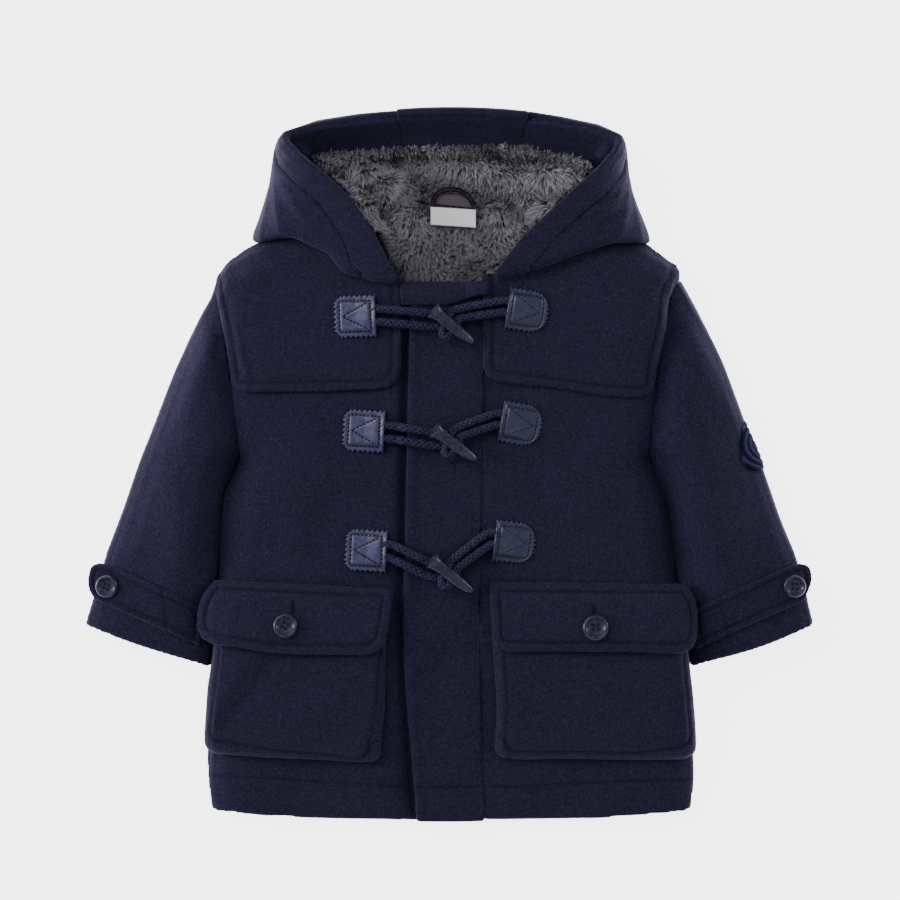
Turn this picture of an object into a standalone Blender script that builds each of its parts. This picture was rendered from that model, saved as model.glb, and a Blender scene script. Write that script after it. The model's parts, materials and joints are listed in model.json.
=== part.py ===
"""Toddler's hooded duffle coat, fastened and laid on its back with the front up.

World axes, metres: +Z up from the table, +Y toward the hood, -X toward the wearer's right.
Shapes are worked out in millimetres and scaled once, when a mesh is made. Each cloth piece is
an open surface bent over a few shared height functions and then given a wall.
"""

import math

import bmesh
import bpy
from mathutils import Vector

MM = 0.001                # one millimetre, in metres
MIDDLE = (-1.25, 0.85, 0.0)   # middle of the coat's extent, which is the origin

# Cloth
WOOL = 2.5                # wall of one layer of melton
BAND_WOOL = 3.0           # hood band, stitched through its seam allowance
DOUBLE_WOOL = 3.2         # placket, flaps and straps are two thin layers, turned
STRAP_WOOL = 2.5          # cuff straps, pressed flatter
PILE = 6.5                # deep pile with its backing
CLEARANCE = 0.5           # between a panel and what lies on it

YOKE_LIFT = WOOL + 0.9     # its outer face above the front

# Body, lying flat
HEM_Y = -248.0
ARMPIT_Y = 3.0
TIP_Y = 124.0             # shoulder tip, top of the armhole
SIDE_ROUND = 22.0         # width over which the front rolls down to its side seam
BACK_ROUND = 12.0         # width over which the back rolls up to it
ARMHOLE_HEIGHT = 26.0     # front edge of the armhole above the table
SEAM_SPLIT = 1.5          # front and back edges lie this far above and below their seam
SHOULDER_FRONT = 12.6     # edge of the front at the shoulder seam
SHOULDER_BACK = 9.4
BACK_NECK_Y = 177.5
BACK_NECK_HALF = 62.0
CENTRE_EDGE = -2.0        # hidden centre edge of the right front
UNDERLAP_DIP = 3.0        # the right front sinks under the placket
UNDERLAP_X = -40.0

# Sleeves
SLEEVE_WOOL = 2.2
SLEEVE_MID = 11.0         # height of the sleeve's widest line
SLEEVE_GAP = 0.8          # beside the body
CUFF_OUTER_Y = -111.5
CUFF_INNER_Y = -140.7
STRAP_WIDTH = 24.0
STRAP_ALONG = 0.875       # fraction of the sleeve's length
STRAP_OVERHANG = 0.07     # of the sleeve's width, past its outer edge
BADGE_RADIUS = 18.0
BADGE_ALONG = 0.47

# Hood
CENTRE_SEAM = {"right": -38.8, "left": 53.4}
BAND_WIDTH = 24.0
BAND_GAP = 1.5
HOOD_ROLL = 22.0
HOOD_SIDE_HEIGHT = 44.0
HOOD_MID = 18.0
HOOD_EDGE_LIFT = 7.0      # top of the hood's lower edge above the fronts
LOWER_ROLL = 4.0
FACING_WIDTH = 27.0
LINING_FLOOR = 9.5
NECK_SEAM_Y = 182.0

# Trims
CORD = 5.6                # braided cord, diameter
PATCH_SIZE = 28.5
TOGGLE_RADII = (5.9, 6.0, 5.6, 5.0, 4.5, 4.0, 3.4, 2.7, 1.9)
TOGGLE_FLAT = 0.82

NAVY = (0.012, 0.016, 0.040)
GREY_PILE = (0.085, 0.088, 0.100)
LEATHER = (0.030, 0.042, 0.095)
PLASTIC = (0.016, 0.018, 0.034)
LABEL = (0.80, 0.74, 0.74)
ROUGH = {"wool": 0.95, "pile": 1.0, "leather": 0.42, "plastic": 0.35, "label": 0.7}


def table(columns, *rows):
    """Rows of numbers as named columns."""
    names = columns.split()
    return {name: [row[i] for row in rows] for i, name in enumerate(names)}


# Side edges of the body and height of the front's middle, from hem to shoulder
BODY = table(
    "y right left crown seam",
    (-250, -165.5, 165.0, 15.0, 7.2),
    (-240, -166.0, 166.0, 16.0, 7.5),
    (-215, -168.0, 166.8, 19.0, 8.2),
    (-200, -169.2, 167.0, 21.0, 8.6),
    (-165, -169.4, 166.8, 25.0, 9.2),
    (-140, -168.7, 166.5, 27.0, 9.2),
    (-110, -167.3, 163.5, 29.0, 9.2),
    (-80, -164.5, 158.5, 31.0, 9.2),
    (-55, -163.0, 154.2, 32.0, 9.2),
    (-32, -162.4, 151.5, 33.0, 9.2),
    (-19, -159.5, 147.8, 33.5, 9.2),
    (-7, -153.8, 142.0, 34.0, 9.2),
    (3, -149.2, 137.6, 34.3, 9.2),
    (27, -151.2, 138.6, 35.0, 9.2),
    (59, -154.7, 141.6, 36.0, 9.2),
    (87, -158.8, 147.0, 36.5, 9.2),
    (101, -161.0, 150.2, 36.5, 9.2),
    (115, -163.2, 154.0, 36.0, 9.2),
    (124, -164.5, 159.5, 35.0, 9.2),
    (190, -164.5, 159.5, 28.0, 9.2),
)

# Shoulder seam, from the neck to the tip; x is the distance from the middle
SHOULDER = table(
    "x y",
    (0, 181), (60, 177.5), (75, 174.0), (95, 168.5), (115, 162.5), (130, 156.8),
    (138, 152.8), (145, 148.5), (152, 142.5), (156, 137), (159.5, 129), (164.5, 124),
)

# Necklines of the fronts and the lower edge of the hood above them
NECKLINE = table(
    "x right left",
    (0, 120, 120), (20, 122, 124), (36, 126, 131), (50, 130, 135.8), (64, 134, 140.5),
    (75, 140, 145.5), (85, 149, 149.8), (91, 159, 157), (95, 170, 168), (99, 190, 190),
)
HOOD_LOWER = table(
    "x right left",
    (28, 122.0, 128.0), (36.4, 123.5, 129.0), (50, 126.5, 133.0), (64.4, 130.2, 138.0),
    (75, 136.0, 142.0), (85, 145.0, 146.3), (91, 153.0, 148.6), (99, 157.0, 151.5),
    (113, 158.6, 155.0), (127, 158.4, 156.0), (138, 157.0, 154.5),
)

# Outer edges of the sleeves, read by the height of the edge point
SLEEVE = table(
    "y right left crown",
    (-112, -255.8, 252.3, 23.0),
    (-94, -250.2, 248.2, 25.0),
    (-69, -243.4, 241.6, 27.0),
    (-39, -232.3, 229.6, 29.0),
    (0, -218.2, 215.6, 31.0),
    (36, -204.6, 200.6, 32.5),
    (71, -190.6, 187.6, 33.0),
    (101, -176.6, 174.0, 32.0),
    (114, -169.8, 167.5, 29.0),
    (124, -167.3, 162.3, 24.0),
)

# Hood sections, from the throat round the mouth to the seam of the centre piece
HOOD = {
    "right": table(
        "station rim_x rim_y rim_z edge_x edge_y floor_y",
        (0, -39.0, 130.0, 49.0, -138.0, 160.5, 188.0),
        (1, -45.0, 142.0, 50.0, -137.5, 164.0, 192.0),
        (2, -54.0, 159.0, 51.0, -134.5, 171.0, 198.0),
        (3, -67.0, 180.0, 52.0, -131.0, 182.0, 205.0),
        (4, -82.0, 196.0, 52.0, -128.0, 192.0, 212.0),
        (5, -98.0, 208.0, 52.0, -125.8, 202.0, 219.0),
        (6, -109.0, 217.5, 50.0, -125.0, 211.5, 225.0),
        (7, -117.0, 227.0, 46.0, -122.5, 222.5, 230.0),
        (8, -115.5, 233.0, 42.0, -117.5, 232.5, 233.0),
        (9, -92.0, 241.0, 37.0, -94.0, 242.5, 235.0),
        (10, -64.0, 245.3, 34.0, -65.0, 247.0, 236.0),
        (11, -38.8, 247.6, 32.0, -38.8, 249.6, 237.0),
    ),
    "left": table(
        "station rim_x rim_y rim_z edge_x edge_y floor_y",
        (0, 31.0, 133.0, 49.0, 137.5, 158.5, 188.0),
        (1, 37.0, 141.5, 50.0, 136.8, 161.5, 192.0),
        (2, 48.0, 155.5, 51.0, 134.3, 167.5, 198.0),
        (3, 64.0, 171.0, 52.0, 130.5, 176.0, 205.0),
        (4, 80.0, 186.0, 52.0, 127.0, 186.0, 212.0),
        (5, 95.0, 199.0, 52.0, 123.8, 197.0, 219.0),
        (6, 107.0, 209.5, 50.0, 122.7, 207.5, 225.0),
        (7, 117.0, 222.5, 46.0, 121.3, 219.5, 230.0),
        (8, 116.5, 229.8, 42.0, 118.5, 229.5, 231.0),
        (9, 100.0, 236.8, 37.0, 102.0, 238.5, 232.0),
        (10, 76.0, 242.2, 34.0, 77.0, 244.0, 234.0),
        (11, 53.4, 246.2, 32.0, 53.4, 248.2, 236.0),
    ),
}

# Soft ridges (+) and troughs (-) pressed into the body and sleeves
FOLDS = table(
    "x1 y1 x2 y2 height width",
    (-166, 102, -177, 60, 2.2, 5),
    (-176, 112, -200, 30, -1.6, 7),
    (-205, -10, -178, -62, 1.8, 9),
    (-232, -50, -186, -84, -1.6, 8),
    (-120, 30, -96, -70, 1.2, 14),
    (-150, -20, -120, -62, -1.2, 10),
    (154, 116, 177, 66, 2.2, 5),
    (170, 96, 193, 46, -1.8, 7),
    (176, 10, 196, -66, 1.8, 9),
    (200, -20, 228, -66, -1.6, 8),
    (96, 30, 84, -70, 1.2, 14),
    (140, -16, 112, -58, -1.2, 10),
    (-8, -110, -12, -225, -1.2, 9),
)

# Placket: its free edge and the seam that joins it to the left front
PLACKET = table(
    "y edge seam",
    (-250, -23.6, 21.8), (-225, -25.0, 21.6), (-193, -28.0, 19.8), (-151, -31.5, 19.4),
    (-95, -32.6, 18.4), (-25, -30.8, 19.4), (45, -29.5, 20.6), (108, -28.0, 21.6),
    (124, -28.0, 21.8),
)

YOKE = {
    "right": {"inner": -36.4, "inner_corner": 14.0, "outer_corner": 7.0,
              "bottom": table("x y", (30, 53.5), (90, 51.8), (150, 51.0))},
    "left": {"inner": 22.6, "inner_corner": 8.0, "outer_corner": 6.0,
             "bottom": table("x y", (20, 60.5), (47, 56.8), (76, 53.2), (104, 49.0), (140, 46.8))},
}

POCKET = {
    "right": {"inner": -47.0, "top": -97.0, "bottom": -205.0, "slant": -1.5},
    "left": {"inner": 29.0, "top": -97.0, "bottom": -207.0, "slant": 2.0},
}

# Flap outlines: x of the outer and inner ends at each level, then the edges by x
FLAP = {
    "right": table("y outer inner",
                   (-131, -174.0, -50.0), (-118, -176.4, -46.5), (-106, -176.0, -44.5),
                   (-93, -171.5, -42.5), (-81, -164.5, -41.0)),
    "left": table("y outer inner",
                  (-133, 166.5, 27.8), (-118, 171.2, 27.4), (-104, 170.4, 27.0),
                  (-94, 167.0, 26.8), (-82, 160.5, 26.6)),
}
FLAP_TOP = {"right": (-81.5, -87.5), "left": (-84.5, -83.0)}
FLAP_BOTTOM = {"right": (-125.0, -131.0), "left": (-131.0, -129.0)}

# Toggle rows: inner edges of the two patches, their tilt, and the toggle's middle and turn
ROWS = table(
    "left_x left_y left_turn right_x right_y right_turn toggle_x toggle_y toggle_turn length",
    (38.5, 109.0, -8.7, -53.2, 103.4, 2.0, 2.5, 98.4, -46.0, 40.0),
    (34.0, 30.3, -10.0, -47.2, 22.4, -3.0, 4.2, 15.4, -42.0, 38.5),
    (29.4, -53.0, -7.0, -45.6, -61.2, -3.0, 1.8, -76.0, -42.0, 38.0),
)


def read(source, key, column, value):
    """Smooth value of a column where the key column reaches the given value."""
    xs = source[key]
    ys = source[column]
    if value <= xs[0]:
        return ys[0]
    if value >= xs[-1]:
        return ys[-1]
    i = max(k for k in range(len(xs) - 1) if xs[k] <= value)
    span = xs[i + 1] - xs[i]

    def slope(k):
        before = max(k - 1, 0)
        after = min(k + 1, len(xs) - 1)
        return (ys[after] - ys[before]) / (xs[after] - xs[before])

    t = (value - xs[i]) / span
    start = slope(i) * span
    end = slope(i + 1) * span
    rise = ys[i + 1] - ys[i]
    return ys[i] + t * (start + t * (3 * rise - 2 * start - end + t * (start + end - 2 * rise)))


def mix(a, b, t):
    return a + (b - a) * t


def clamp(t):
    return min(max(t, 0.0), 1.0)


def ease(t):
    t = clamp(t)
    return t * t * (3 - 2 * t)


def round_over(t):
    """Quarter of an ellipse: 0 with a steep start, 1 from t = 1 on."""
    return math.sqrt(1 - (1 - clamp(t)) ** 2)


def lens(t, power):
    """Flat-topped bulge over 0..1, zero at both ends."""
    return max(1 - abs(2 * clamp(t) - 1) ** power, 0.0) ** (1 / power)


def side_of(x):
    return "right" if x < 0 else "left"


def even(count):
    return [i / count for i in range(count + 1)]


def both_dense(count):
    """Fractions that crowd toward both ends."""
    return [(1 - math.cos(math.pi * i / count)) / 2 for i in range(count + 1)]


# --- Shared forms ---------------------------------------------------------------------------

def fold_height(x, y):
    total = 0.0
    for x1, y1, x2, y2, height, width in zip(*FOLDS.values()):
        run = Vector((x2 - x1, y2 - y1))
        offset = Vector((x - x1, y - y1))
        along = offset.dot(run) / run.length_squared
        if 0 < along < 1:
            across = abs(run.x * offset.y - run.y * offset.x) / run.length
            total += height * (1 - (2 * along - 1) ** 2) * math.exp(-(across / width) ** 2)
    return total


def side_edge(side, y):
    return read(BODY, "y", side, y)


def shoulder_line(x):
    return read(SHOULDER, "x", "y", abs(x))


def armhole(y):
    """0 at the armpit and the shoulder tip, 1 along most of the armhole."""
    return lens((y - ARMPIT_Y) / (TIP_Y - ARMPIT_Y), 3.0)


def front_edge_height(y):
    seam = read(BODY, "y", "seam", y) + SEAM_SPLIT
    return seam + (ARMHOLE_HEIGHT - seam) * armhole(y)


def back_edge_height(y):
    return (read(BODY, "y", "seam", y) - SEAM_SPLIT) * (1 - armhole(y))


def front_height(x, y):
    """Outer face of the two fronts, taken as one surface."""
    inset = abs(side_edge(side_of(x), y)) - abs(x)
    low = front_edge_height(y)
    crown = read(BODY, "y", "crown", y)
    height = low + (crown - low + fold_height(x, y)) * round_over(inset / SIDE_ROUND)
    drop = shoulder_line(x) - y
    return SHOULDER_FRONT + (height - SHOULDER_FRONT) * round_over(drop / SIDE_ROUND)


def right_front_height(x, y):
    """The right front sinks where the placket covers it."""
    return front_height(x, y) - UNDERLAP_DIP * ease((x - UNDERLAP_X) / 8.0)


def back_height(x, y):
    inset = abs(side_edge(side_of(x), y)) - abs(x)
    height = back_edge_height(y) * (1 - round_over(inset / BACK_ROUND))
    drop = shoulder_line(x) - y
    at_shoulder = SHOULDER_BACK * ease((abs(x) - BACK_NECK_HALF) / 12.0)
    return max(height, at_shoulder * (1 - round_over(drop / BACK_ROUND)))


def lifted(height, x, y, lift):
    """Point of a height function moved out along its normal."""
    step = 0.4
    slope_x = (height(x + step, y) - height(x - step, y)) / (2 * step)
    slope_y = (height(x, y + step) - height(x, y - step)) / (2 * step)
    normal = Vector((-slope_x, -slope_y, 1.0)).normalized()
    return Vector((x, y, height(x, y))) + normal * lift


def placket_lift(x, y):
    """The placket stands highest at its free edge and dies into its seam."""
    edge = read(PLACKET, "y", "edge", y)
    seam = read(PLACKET, "y", "seam", y)
    return mix(2.0, 0.5, (x - edge) / (seam - edge))


def cloth_top(x, y):
    """Top of whatever layer of cloth lies at a place on the fronts."""
    height = front_height(x, y)
    edge = read(PLACKET, "y", "edge", y)
    seam = read(PLACKET, "y", "seam", y)
    if edge - 1 < x < seam + 1:
        return height + placket_lift(x, y)
    shape = YOKE[side_of(x)]
    if abs(x) > abs(shape["inner"]) - 1 and y > read(shape["bottom"], "x", "y", abs(x)) - 1:
        return height + YOKE_LIFT
    return height


def level_height(x, y):
    """The fronts without their roll at the side seam, which pockets and flaps bridge."""
    side = side_of(x)
    edge = abs(side_edge(side, y))
    reach = abs(x) - (edge - SIDE_ROUND)
    if reach <= 0:
        return front_height(x, y)
    inside = math.copysign(edge - SIDE_ROUND, x)
    return front_height(inside, y) - 3.0 * (reach / SIDE_ROUND) ** 2


# --- Making objects -------------------------------------------------------------------------

def make_material(name, colour, kind):
    material = bpy.data.materials.new(name)
    material.use_nodes = True
    shader = material.node_tree.nodes["Principled BSDF"]
    shader.inputs["Base Color"].default_value = (*colour, 1.0)
    shader.inputs["Roughness"].default_value = ROUGH[kind]
    shader.inputs["Metallic"].default_value = 0.0
    return material


def placed(point):
    """A point of the drawing, in millimetres, as a place in the world."""
    return (Vector(point) - Vector(MIDDLE)) * MM


def add_object(name, mesh, material):
    mesh.materials.append(material)
    piece = bpy.data.objects.new(name, mesh)
    coat.objects.link(piece)
    mesh.shade_smooth()
    mesh.set_sharp_from_angle(angle=math.radians(40))
    return piece


def bent_grid(us, vs, point):
    """Grid of the given fractions with each corner moved to point(u, v)."""
    grid = bmesh.new()
    bmesh.ops.create_grid(grid, x_segments=len(us) - 1, y_segments=len(vs) - 1, size=0.5)
    for vertex in grid.verts:
        u = us[round((vertex.co.x + 0.5) * (len(us) - 1))]
        v = vs[round((vertex.co.y + 0.5) * (len(vs) - 1))]
        vertex.co = placed(point(u, v))
    return grid


def sheet(name, us, vs, point, thickness, material, outward=(0, 0, 1), probe=(0.5, 0.5)):
    """Cloth with its outer face on point(u, v) and its wall on the other side."""
    grid = bent_grid(us, vs, point)
    target = placed(point(*probe))
    face = min(grid.faces, key=lambda f: (f.calc_center_median() - target).length)
    face.normal_update()
    if face.normal.dot(Vector(outward)) < 0:
        bmesh.ops.reverse_faces(grid, faces=grid.faces)
    mesh = bpy.data.meshes.new(name)
    grid.to_mesh(mesh)
    grid.free()
    piece = add_object(name, mesh, material)
    wall = piece.modifiers.new("wall", "SOLIDIFY")
    wall.thickness = thickness * MM
    wall.offset = -1.0
    return piece


def slab(name, us, vs, top, bottom, material):
    """Closed pad between two surfaces that share one grid."""
    grid = bent_grid(us, vs, top)
    lower = bent_grid(us, vs, bottom)
    places = [vertex.co.copy() for vertex in lower.verts]
    lower.free()
    count = len(grid.verts)
    bmesh.ops.extrude_face_region(grid, geom=grid.faces[:])
    grid.verts.ensure_lookup_table()
    for i in range(count):
        grid.verts[i].co = places[i]
    bmesh.ops.recalc_face_normals(grid, faces=grid.faces)
    mesh = bpy.data.meshes.new(name)
    grid.to_mesh(mesh)
    grid.free()
    return add_object(name, mesh, material)


def tube(name, points, radii, sides_resolution, material, flat=1.0):
    """Round cord or horn along points, as a closed mesh."""
    data = bpy.data.curves.new(name, "CURVE")
    data.dimensions = "3D"
    data.bevel_depth = MM
    data.bevel_resolution = sides_resolution
    data.use_fill_caps = True
    spline = data.splines.new("POLY")
    spline.points.add(len(points) - 1)
    for i, point in enumerate(points):
        spline.points[i].co = (*placed(point), 1.0)
        spline.points[i].radius = radii[i]
    guide = bpy.data.objects.new(name + "_path", data)
    coat.objects.link(guide)
    bpy.context.view_layer.update()
    evaluated = guide.evaluated_get(bpy.context.evaluated_depsgraph_get())
    mesh = bpy.data.meshes.new_from_object(evaluated)
    mesh.name = name
    bpy.data.objects.remove(guide)
    weld = bmesh.new()
    weld.from_mesh(mesh)
    bmesh.ops.remove_doubles(weld, verts=weld.verts, dist=1e-6)
    bmesh.ops.recalc_face_normals(weld, faces=weld.faces)
    for vertex in weld.verts:
        vertex.co.z *= flat
    weld.to_mesh(mesh)
    weld.free()
    mesh.materials.clear()
    return add_object(name, mesh, material)


def smooth_path(knots, steps):
    """Points of a Catmull-Rom curve through the knots."""
    ends = [knots[0] * 2 - knots[1]] + list(knots) + [knots[-1] * 2 - knots[-2]]
    points = []
    for i in range(len(knots) - 1):
        a, b, c, d = ends[i:i + 4]
        for k in range(steps):
            t = k / steps
            points.append(0.5 * (2 * b + (c - a) * t + (2 * a - 5 * b + 4 * c - d) * t * t
                                 + (3 * b - 3 * c + d - a) * t ** 3))
    points.append(knots[-1].copy())
    return points


# --- Body -----------------------------------------------------------------------------------

BODY_ROWS = (-248, -206, -164, -122, -80, -45, -22, -9, 3, 12, 34, 60, 86, 106, 118, 124)
UPPER_ROWS = 60.0         # rows above this stretch to reach the shoulder or neck


def hem_line(x):
    return HEM_Y + 6.5 * (abs(x) / 165.0) ** 4


def body_row(row, top, x):
    """Level of a row on a column that ends at the given top."""
    if row > UPPER_ROWS:
        return UPPER_ROWS + (row - UPPER_ROWS) * (top - UPPER_ROWS) / (TIP_Y - UPPER_ROWS)
    if row == BODY_ROWS[0]:
        return hem_line(x)
    return row


def front_panel(side):
    height = right_front_height if side == "right" else front_height

    def centre(y):
        if side == "right":
            return CENTRE_EDGE
        return read(PLACKET, "y", "seam", y) + CLEARANCE + 0.4

    def point(u, v):
        row = BODY_ROWS[round(v * (len(BODY_ROWS) - 1))]
        x_top = mix(side_edge(side, TIP_Y), centre(TIP_Y), u)
        neck = read(NECKLINE, "x", side, abs(x_top))
        top = min(shoulder_line(x_top), neck)
        if u == 0:
            top = TIP_Y
        y = body_row(row, top, mix(side_edge(side, HEM_Y), centre(HEM_Y), u))
        x = mix(side_edge(side, y), centre(y), u)
        return x, y, height(x, y)

    rows = even(len(BODY_ROWS) - 1)
    return sheet("front_" + side, both_dense(12), rows, point, WOOL, wool, probe=(0.5, 0.3))


def back_panel():
    def point(u, v):
        row = BODY_ROWS[round(v * (len(BODY_ROWS) - 1))]
        x_top = mix(side_edge("right", TIP_Y), side_edge("left", TIP_Y), u)
        top = min(shoulder_line(x_top), BACK_NECK_Y)
        if u in (0, 1):
            top = TIP_Y
        x_hem = mix(side_edge("right", HEM_Y), side_edge("left", HEM_Y), u)
        y = body_row(row, top, x_hem)
        x = mix(side_edge("right", y), side_edge("left", y), u)
        return x, y, back_height(x, y)

    rows = even(len(BODY_ROWS) - 1)
    return sheet("back_panel", both_dense(13), rows, point, WOOL, wool, outward=(0, 0, -1),
                 probe=(0.5, 0.3))


def band_bottom(x):
    """Lower edge of the neck band, which rises to its rounded left end."""
    return mix(111.4, 119.0, ease((x + 8.0) / 32.0))


def placket():
    def point(u, v):
        x0 = read(PLACKET, "y", "edge", 110)
        x1 = read(PLACKET, "y", "seam", 110)
        top = band_bottom(mix(x0, x1, u)) - 0.8
        y = mix(HEM_Y - 0.8, top, v)
        x = mix(read(PLACKET, "y", "edge", y), read(PLACKET, "y", "seam", y), u)
        return lifted(front_height, x, y, placket_lift(x, y))

    return sheet("placket", even(5), even(16), point, DOUBLE_WOOL, wool)


def neck_band():
    x0, x1 = -35.2, 24.4

    def point(u, v):
        x = mix(x0, x1, u)
        y = mix(band_bottom(x), 126.4, v)
        over_yoke = (YOKE_LIFT + 0.2) * ease((x - 10.0) / 8.0)
        return x, y, front_height(x, 118.0) + CLEARANCE + 4.0 + over_yoke - 0.8 * (2 * v - 1) ** 2

    return sheet("neck_band", even(8), even(4), point, 4.0, wool)


def corner_rise(distance, radius):
    """How far an edge lifts within a rounded corner."""
    if distance >= radius:
        return 0.0
    return radius - math.sqrt(radius ** 2 - (radius - distance) ** 2)


def yoke(side):
    shape = YOKE[side]
    inner = shape["inner"]

    def outer(y):
        edge = side_edge(side, min(y, TIP_Y))
        return edge - math.copysign(3.0, edge)

    def point(u, v):
        x_low = mix(outer(51), inner, u)
        low = read(shape["bottom"], "x", "y", abs(x_low))
        low += corner_rise(abs(x_low - inner), shape["inner_corner"])
        low += corner_rise(abs(x_low - outer(51)), shape["outer_corner"])
        x_high = mix(outer(TIP_Y), inner, u)
        under_hood = read(HOOD_LOWER, "x", side, abs(x_high)) + 3.5
        high = min(shoulder_line(x_high) - 3.0, under_hood)
        if u == 0:
            high = TIP_Y - 4.6
        y = mix(low, high, v)
        x = mix(outer(y), inner, u)
        return lifted(front_height, x, y, YOKE_LIFT)

    rows = [1 - (1 - t) ** 1.4 for t in even(7)]
    return sheet("yoke_" + side, both_dense(11), rows, point, WOOL, wool)


# --- Sleeves --------------------------------------------------------------------------------

def sleeve_chord(side, along):
    """Outer and inner points, in plan, of a section of the sleeve."""
    outer_y = mix(TIP_Y, CUFF_OUTER_Y, along)
    inner_y = mix(ARMPIT_Y, CUFF_INNER_Y, along)
    edge = side_edge(side, inner_y)
    outer = Vector((read(SLEEVE, "y", side, outer_y), outer_y))
    inner = Vector((edge + math.copysign(SLEEVE_GAP, edge), inner_y))
    return outer, inner


def sleeve_plan(side, along, across):
    outer, inner = sleeve_chord(side, along)
    plan = outer.lerp(inner, across)
    near_seam = 1 - ease(along / 0.25)
    if near_seam > 0:
        start, end = sleeve_chord(side, 0.0)
        straight = start.lerp(end, across)
        edge = side_edge(side, straight.y)
        gap = SLEEVE_GAP + 2.0 * (1 - ease(across / 0.14))
        plan.x += (edge + math.copysign(gap, edge) - straight.x) * near_seam
    return plan


def sleeve_top(side, along, across):
    """Upper face of the sleeve; across runs from the outer edge to the inner one."""
    plan = sleeve_plan(side, along, across)
    crown = read(SLEEVE, "y", "crown", mix(TIP_Y, CUFF_OUTER_Y, along))
    low = SLEEVE_MID + 1.0
    bulge = lens(across, 2.6)
    full = low + (crown - low + fold_height(plan.x, plan.y)) * bulge
    start, end = sleeve_chord(side, 0.0)
    at_seam = front_edge_height(mix(start.y, end.y, across))
    return Vector((plan.x, plan.y, mix(at_seam, full, ease(along / 0.14))))


def sleeve_under(side, along, across):
    plan = sleeve_plan(side, along, across)
    full = (SLEEVE_MID - 1.0) * (1 - lens(across, 3.0))
    start, end = sleeve_chord(side, 0.0)
    at_seam = back_edge_height(mix(start.y, end.y, across))
    return Vector((plan.x, plan.y, mix(at_seam, full, ease(along / 0.14))))


def sleeve_panels(side):
    rows = [t ** 1.3 for t in even(12)]
    sheet("sleeve_" + side + "_top", both_dense(10), rows,
          lambda u, v: sleeve_top(side, v, u), SLEEVE_WOOL, wool)
    sheet("sleeve_" + side + "_under", both_dense(10), rows,
          lambda u, v: sleeve_under(side, v, u), SLEEVE_WOOL, wool, outward=(0, 0, -1))


def raised(surface, u, v, lift):
    """Point of a surface(u, v) moved up along its normal."""
    step = 0.004
    along_u = surface(u + step, v) - surface(u - step, v)
    along_v = surface(u, v + step) - surface(u, v - step)
    normal = along_u.cross(along_v).normalized()
    if normal.z < 0:
        normal.negate()
    return surface(u, v) + normal * lift


def cuff_strap_point(side, across, width, lift):
    """Strap on the sleeve; it stays level past the rolled outer edge."""
    def surface(u, v):
        return sleeve_top(side, v, u)

    outer, inner = sleeve_chord(side, STRAP_ALONG)
    start = 0.13
    used = max(across, start)
    run = mix(235.0, 144.0, used)
    along = STRAP_ALONG + width / run
    point = raised(surface, used, along, lift)
    past = start - used if across >= start else start - across
    if past > 0:
        point += Vector((*(outer - inner), 0.0)) * past
        point.z -= 3.0 * (past / (start + STRAP_OVERHANG)) ** 2
    return point


def cuff_strap(side):
    half = STRAP_WIDTH / 2

    def point(u, v):
        across = mix(-STRAP_OVERHANG, 0.92, u)
        width = mix(half, -half, v)
        reach = abs(u * 1.02 * 92.0)
        shrink = round_over((reach + 1.2) / 9.0)
        return cuff_strap_point(side, across, width * shrink, CLEARANCE + STRAP_WOOL)

    columns = [t ** 1.5 for t in even(14)]
    return sheet("cuff_strap_" + side, columns, even(4), point, STRAP_WOOL, wool)


def sleeve_badge():
    """Round patch that wraps over the outer edge of the left sleeve."""
    def ring(along, turn):
        across = (1 - math.cos(abs(turn))) / 2
        surface = sleeve_top if turn >= 0 else sleeve_under
        point = surface("left", along, across)
        if abs(turn) < 1e-9:
            point.z = SLEEVE_MID
        return point

    def wrapped(offset, around):
        """Point at an offset along the sleeve and a distance around it from its edge."""
        along = BADGE_ALONG + offset / 262.0
        turn = 0.0
        step = math.copysign(0.02, around)
        travelled = 0.0
        last = ring(along, 0.0)
        while travelled < abs(around):
            turn += step
            here = ring(along, turn)
            travelled += (here - last).length
            last = here
        return last

    def point(u, v, lift=CLEARANCE + 1.35):
        a = 2 * u - 1
        b = 2 * v - 1
        x = a * math.sqrt(1 - b * b / 2) * BADGE_RADIUS
        y = b * math.sqrt(1 - a * a / 2) * BADGE_RADIUS + 4.0
        here = wrapped(x, y)
        normal = (wrapped(x + 2, y) - wrapped(x - 2, y)).cross(
            wrapped(x, y + 2) - wrapped(x, y - 2)).normalized()
        if normal.x < 0:
            normal.negate()
        return here + normal * lift

    return sheet("sleeve_badge", even(6), even(6), point, 1.2, wool, outward=(1, 0, 0.4))


# --- Pockets --------------------------------------------------------------------------------

def pocket_outer(side, y):
    """The pocket stays inside the body beside the sleeve and bulges past it below."""
    edge = side_edge(side, y)
    inset = mix(-1.8, 1.8, ease((y + 185.0) / 35.0))
    return edge - math.copysign(inset, edge)


def pocket_stand(y, top):
    """Height of the pocket's face above the front: less at its mouth."""
    return mix(4.6, 8.0, ease((top - y) / 26.0))


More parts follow.
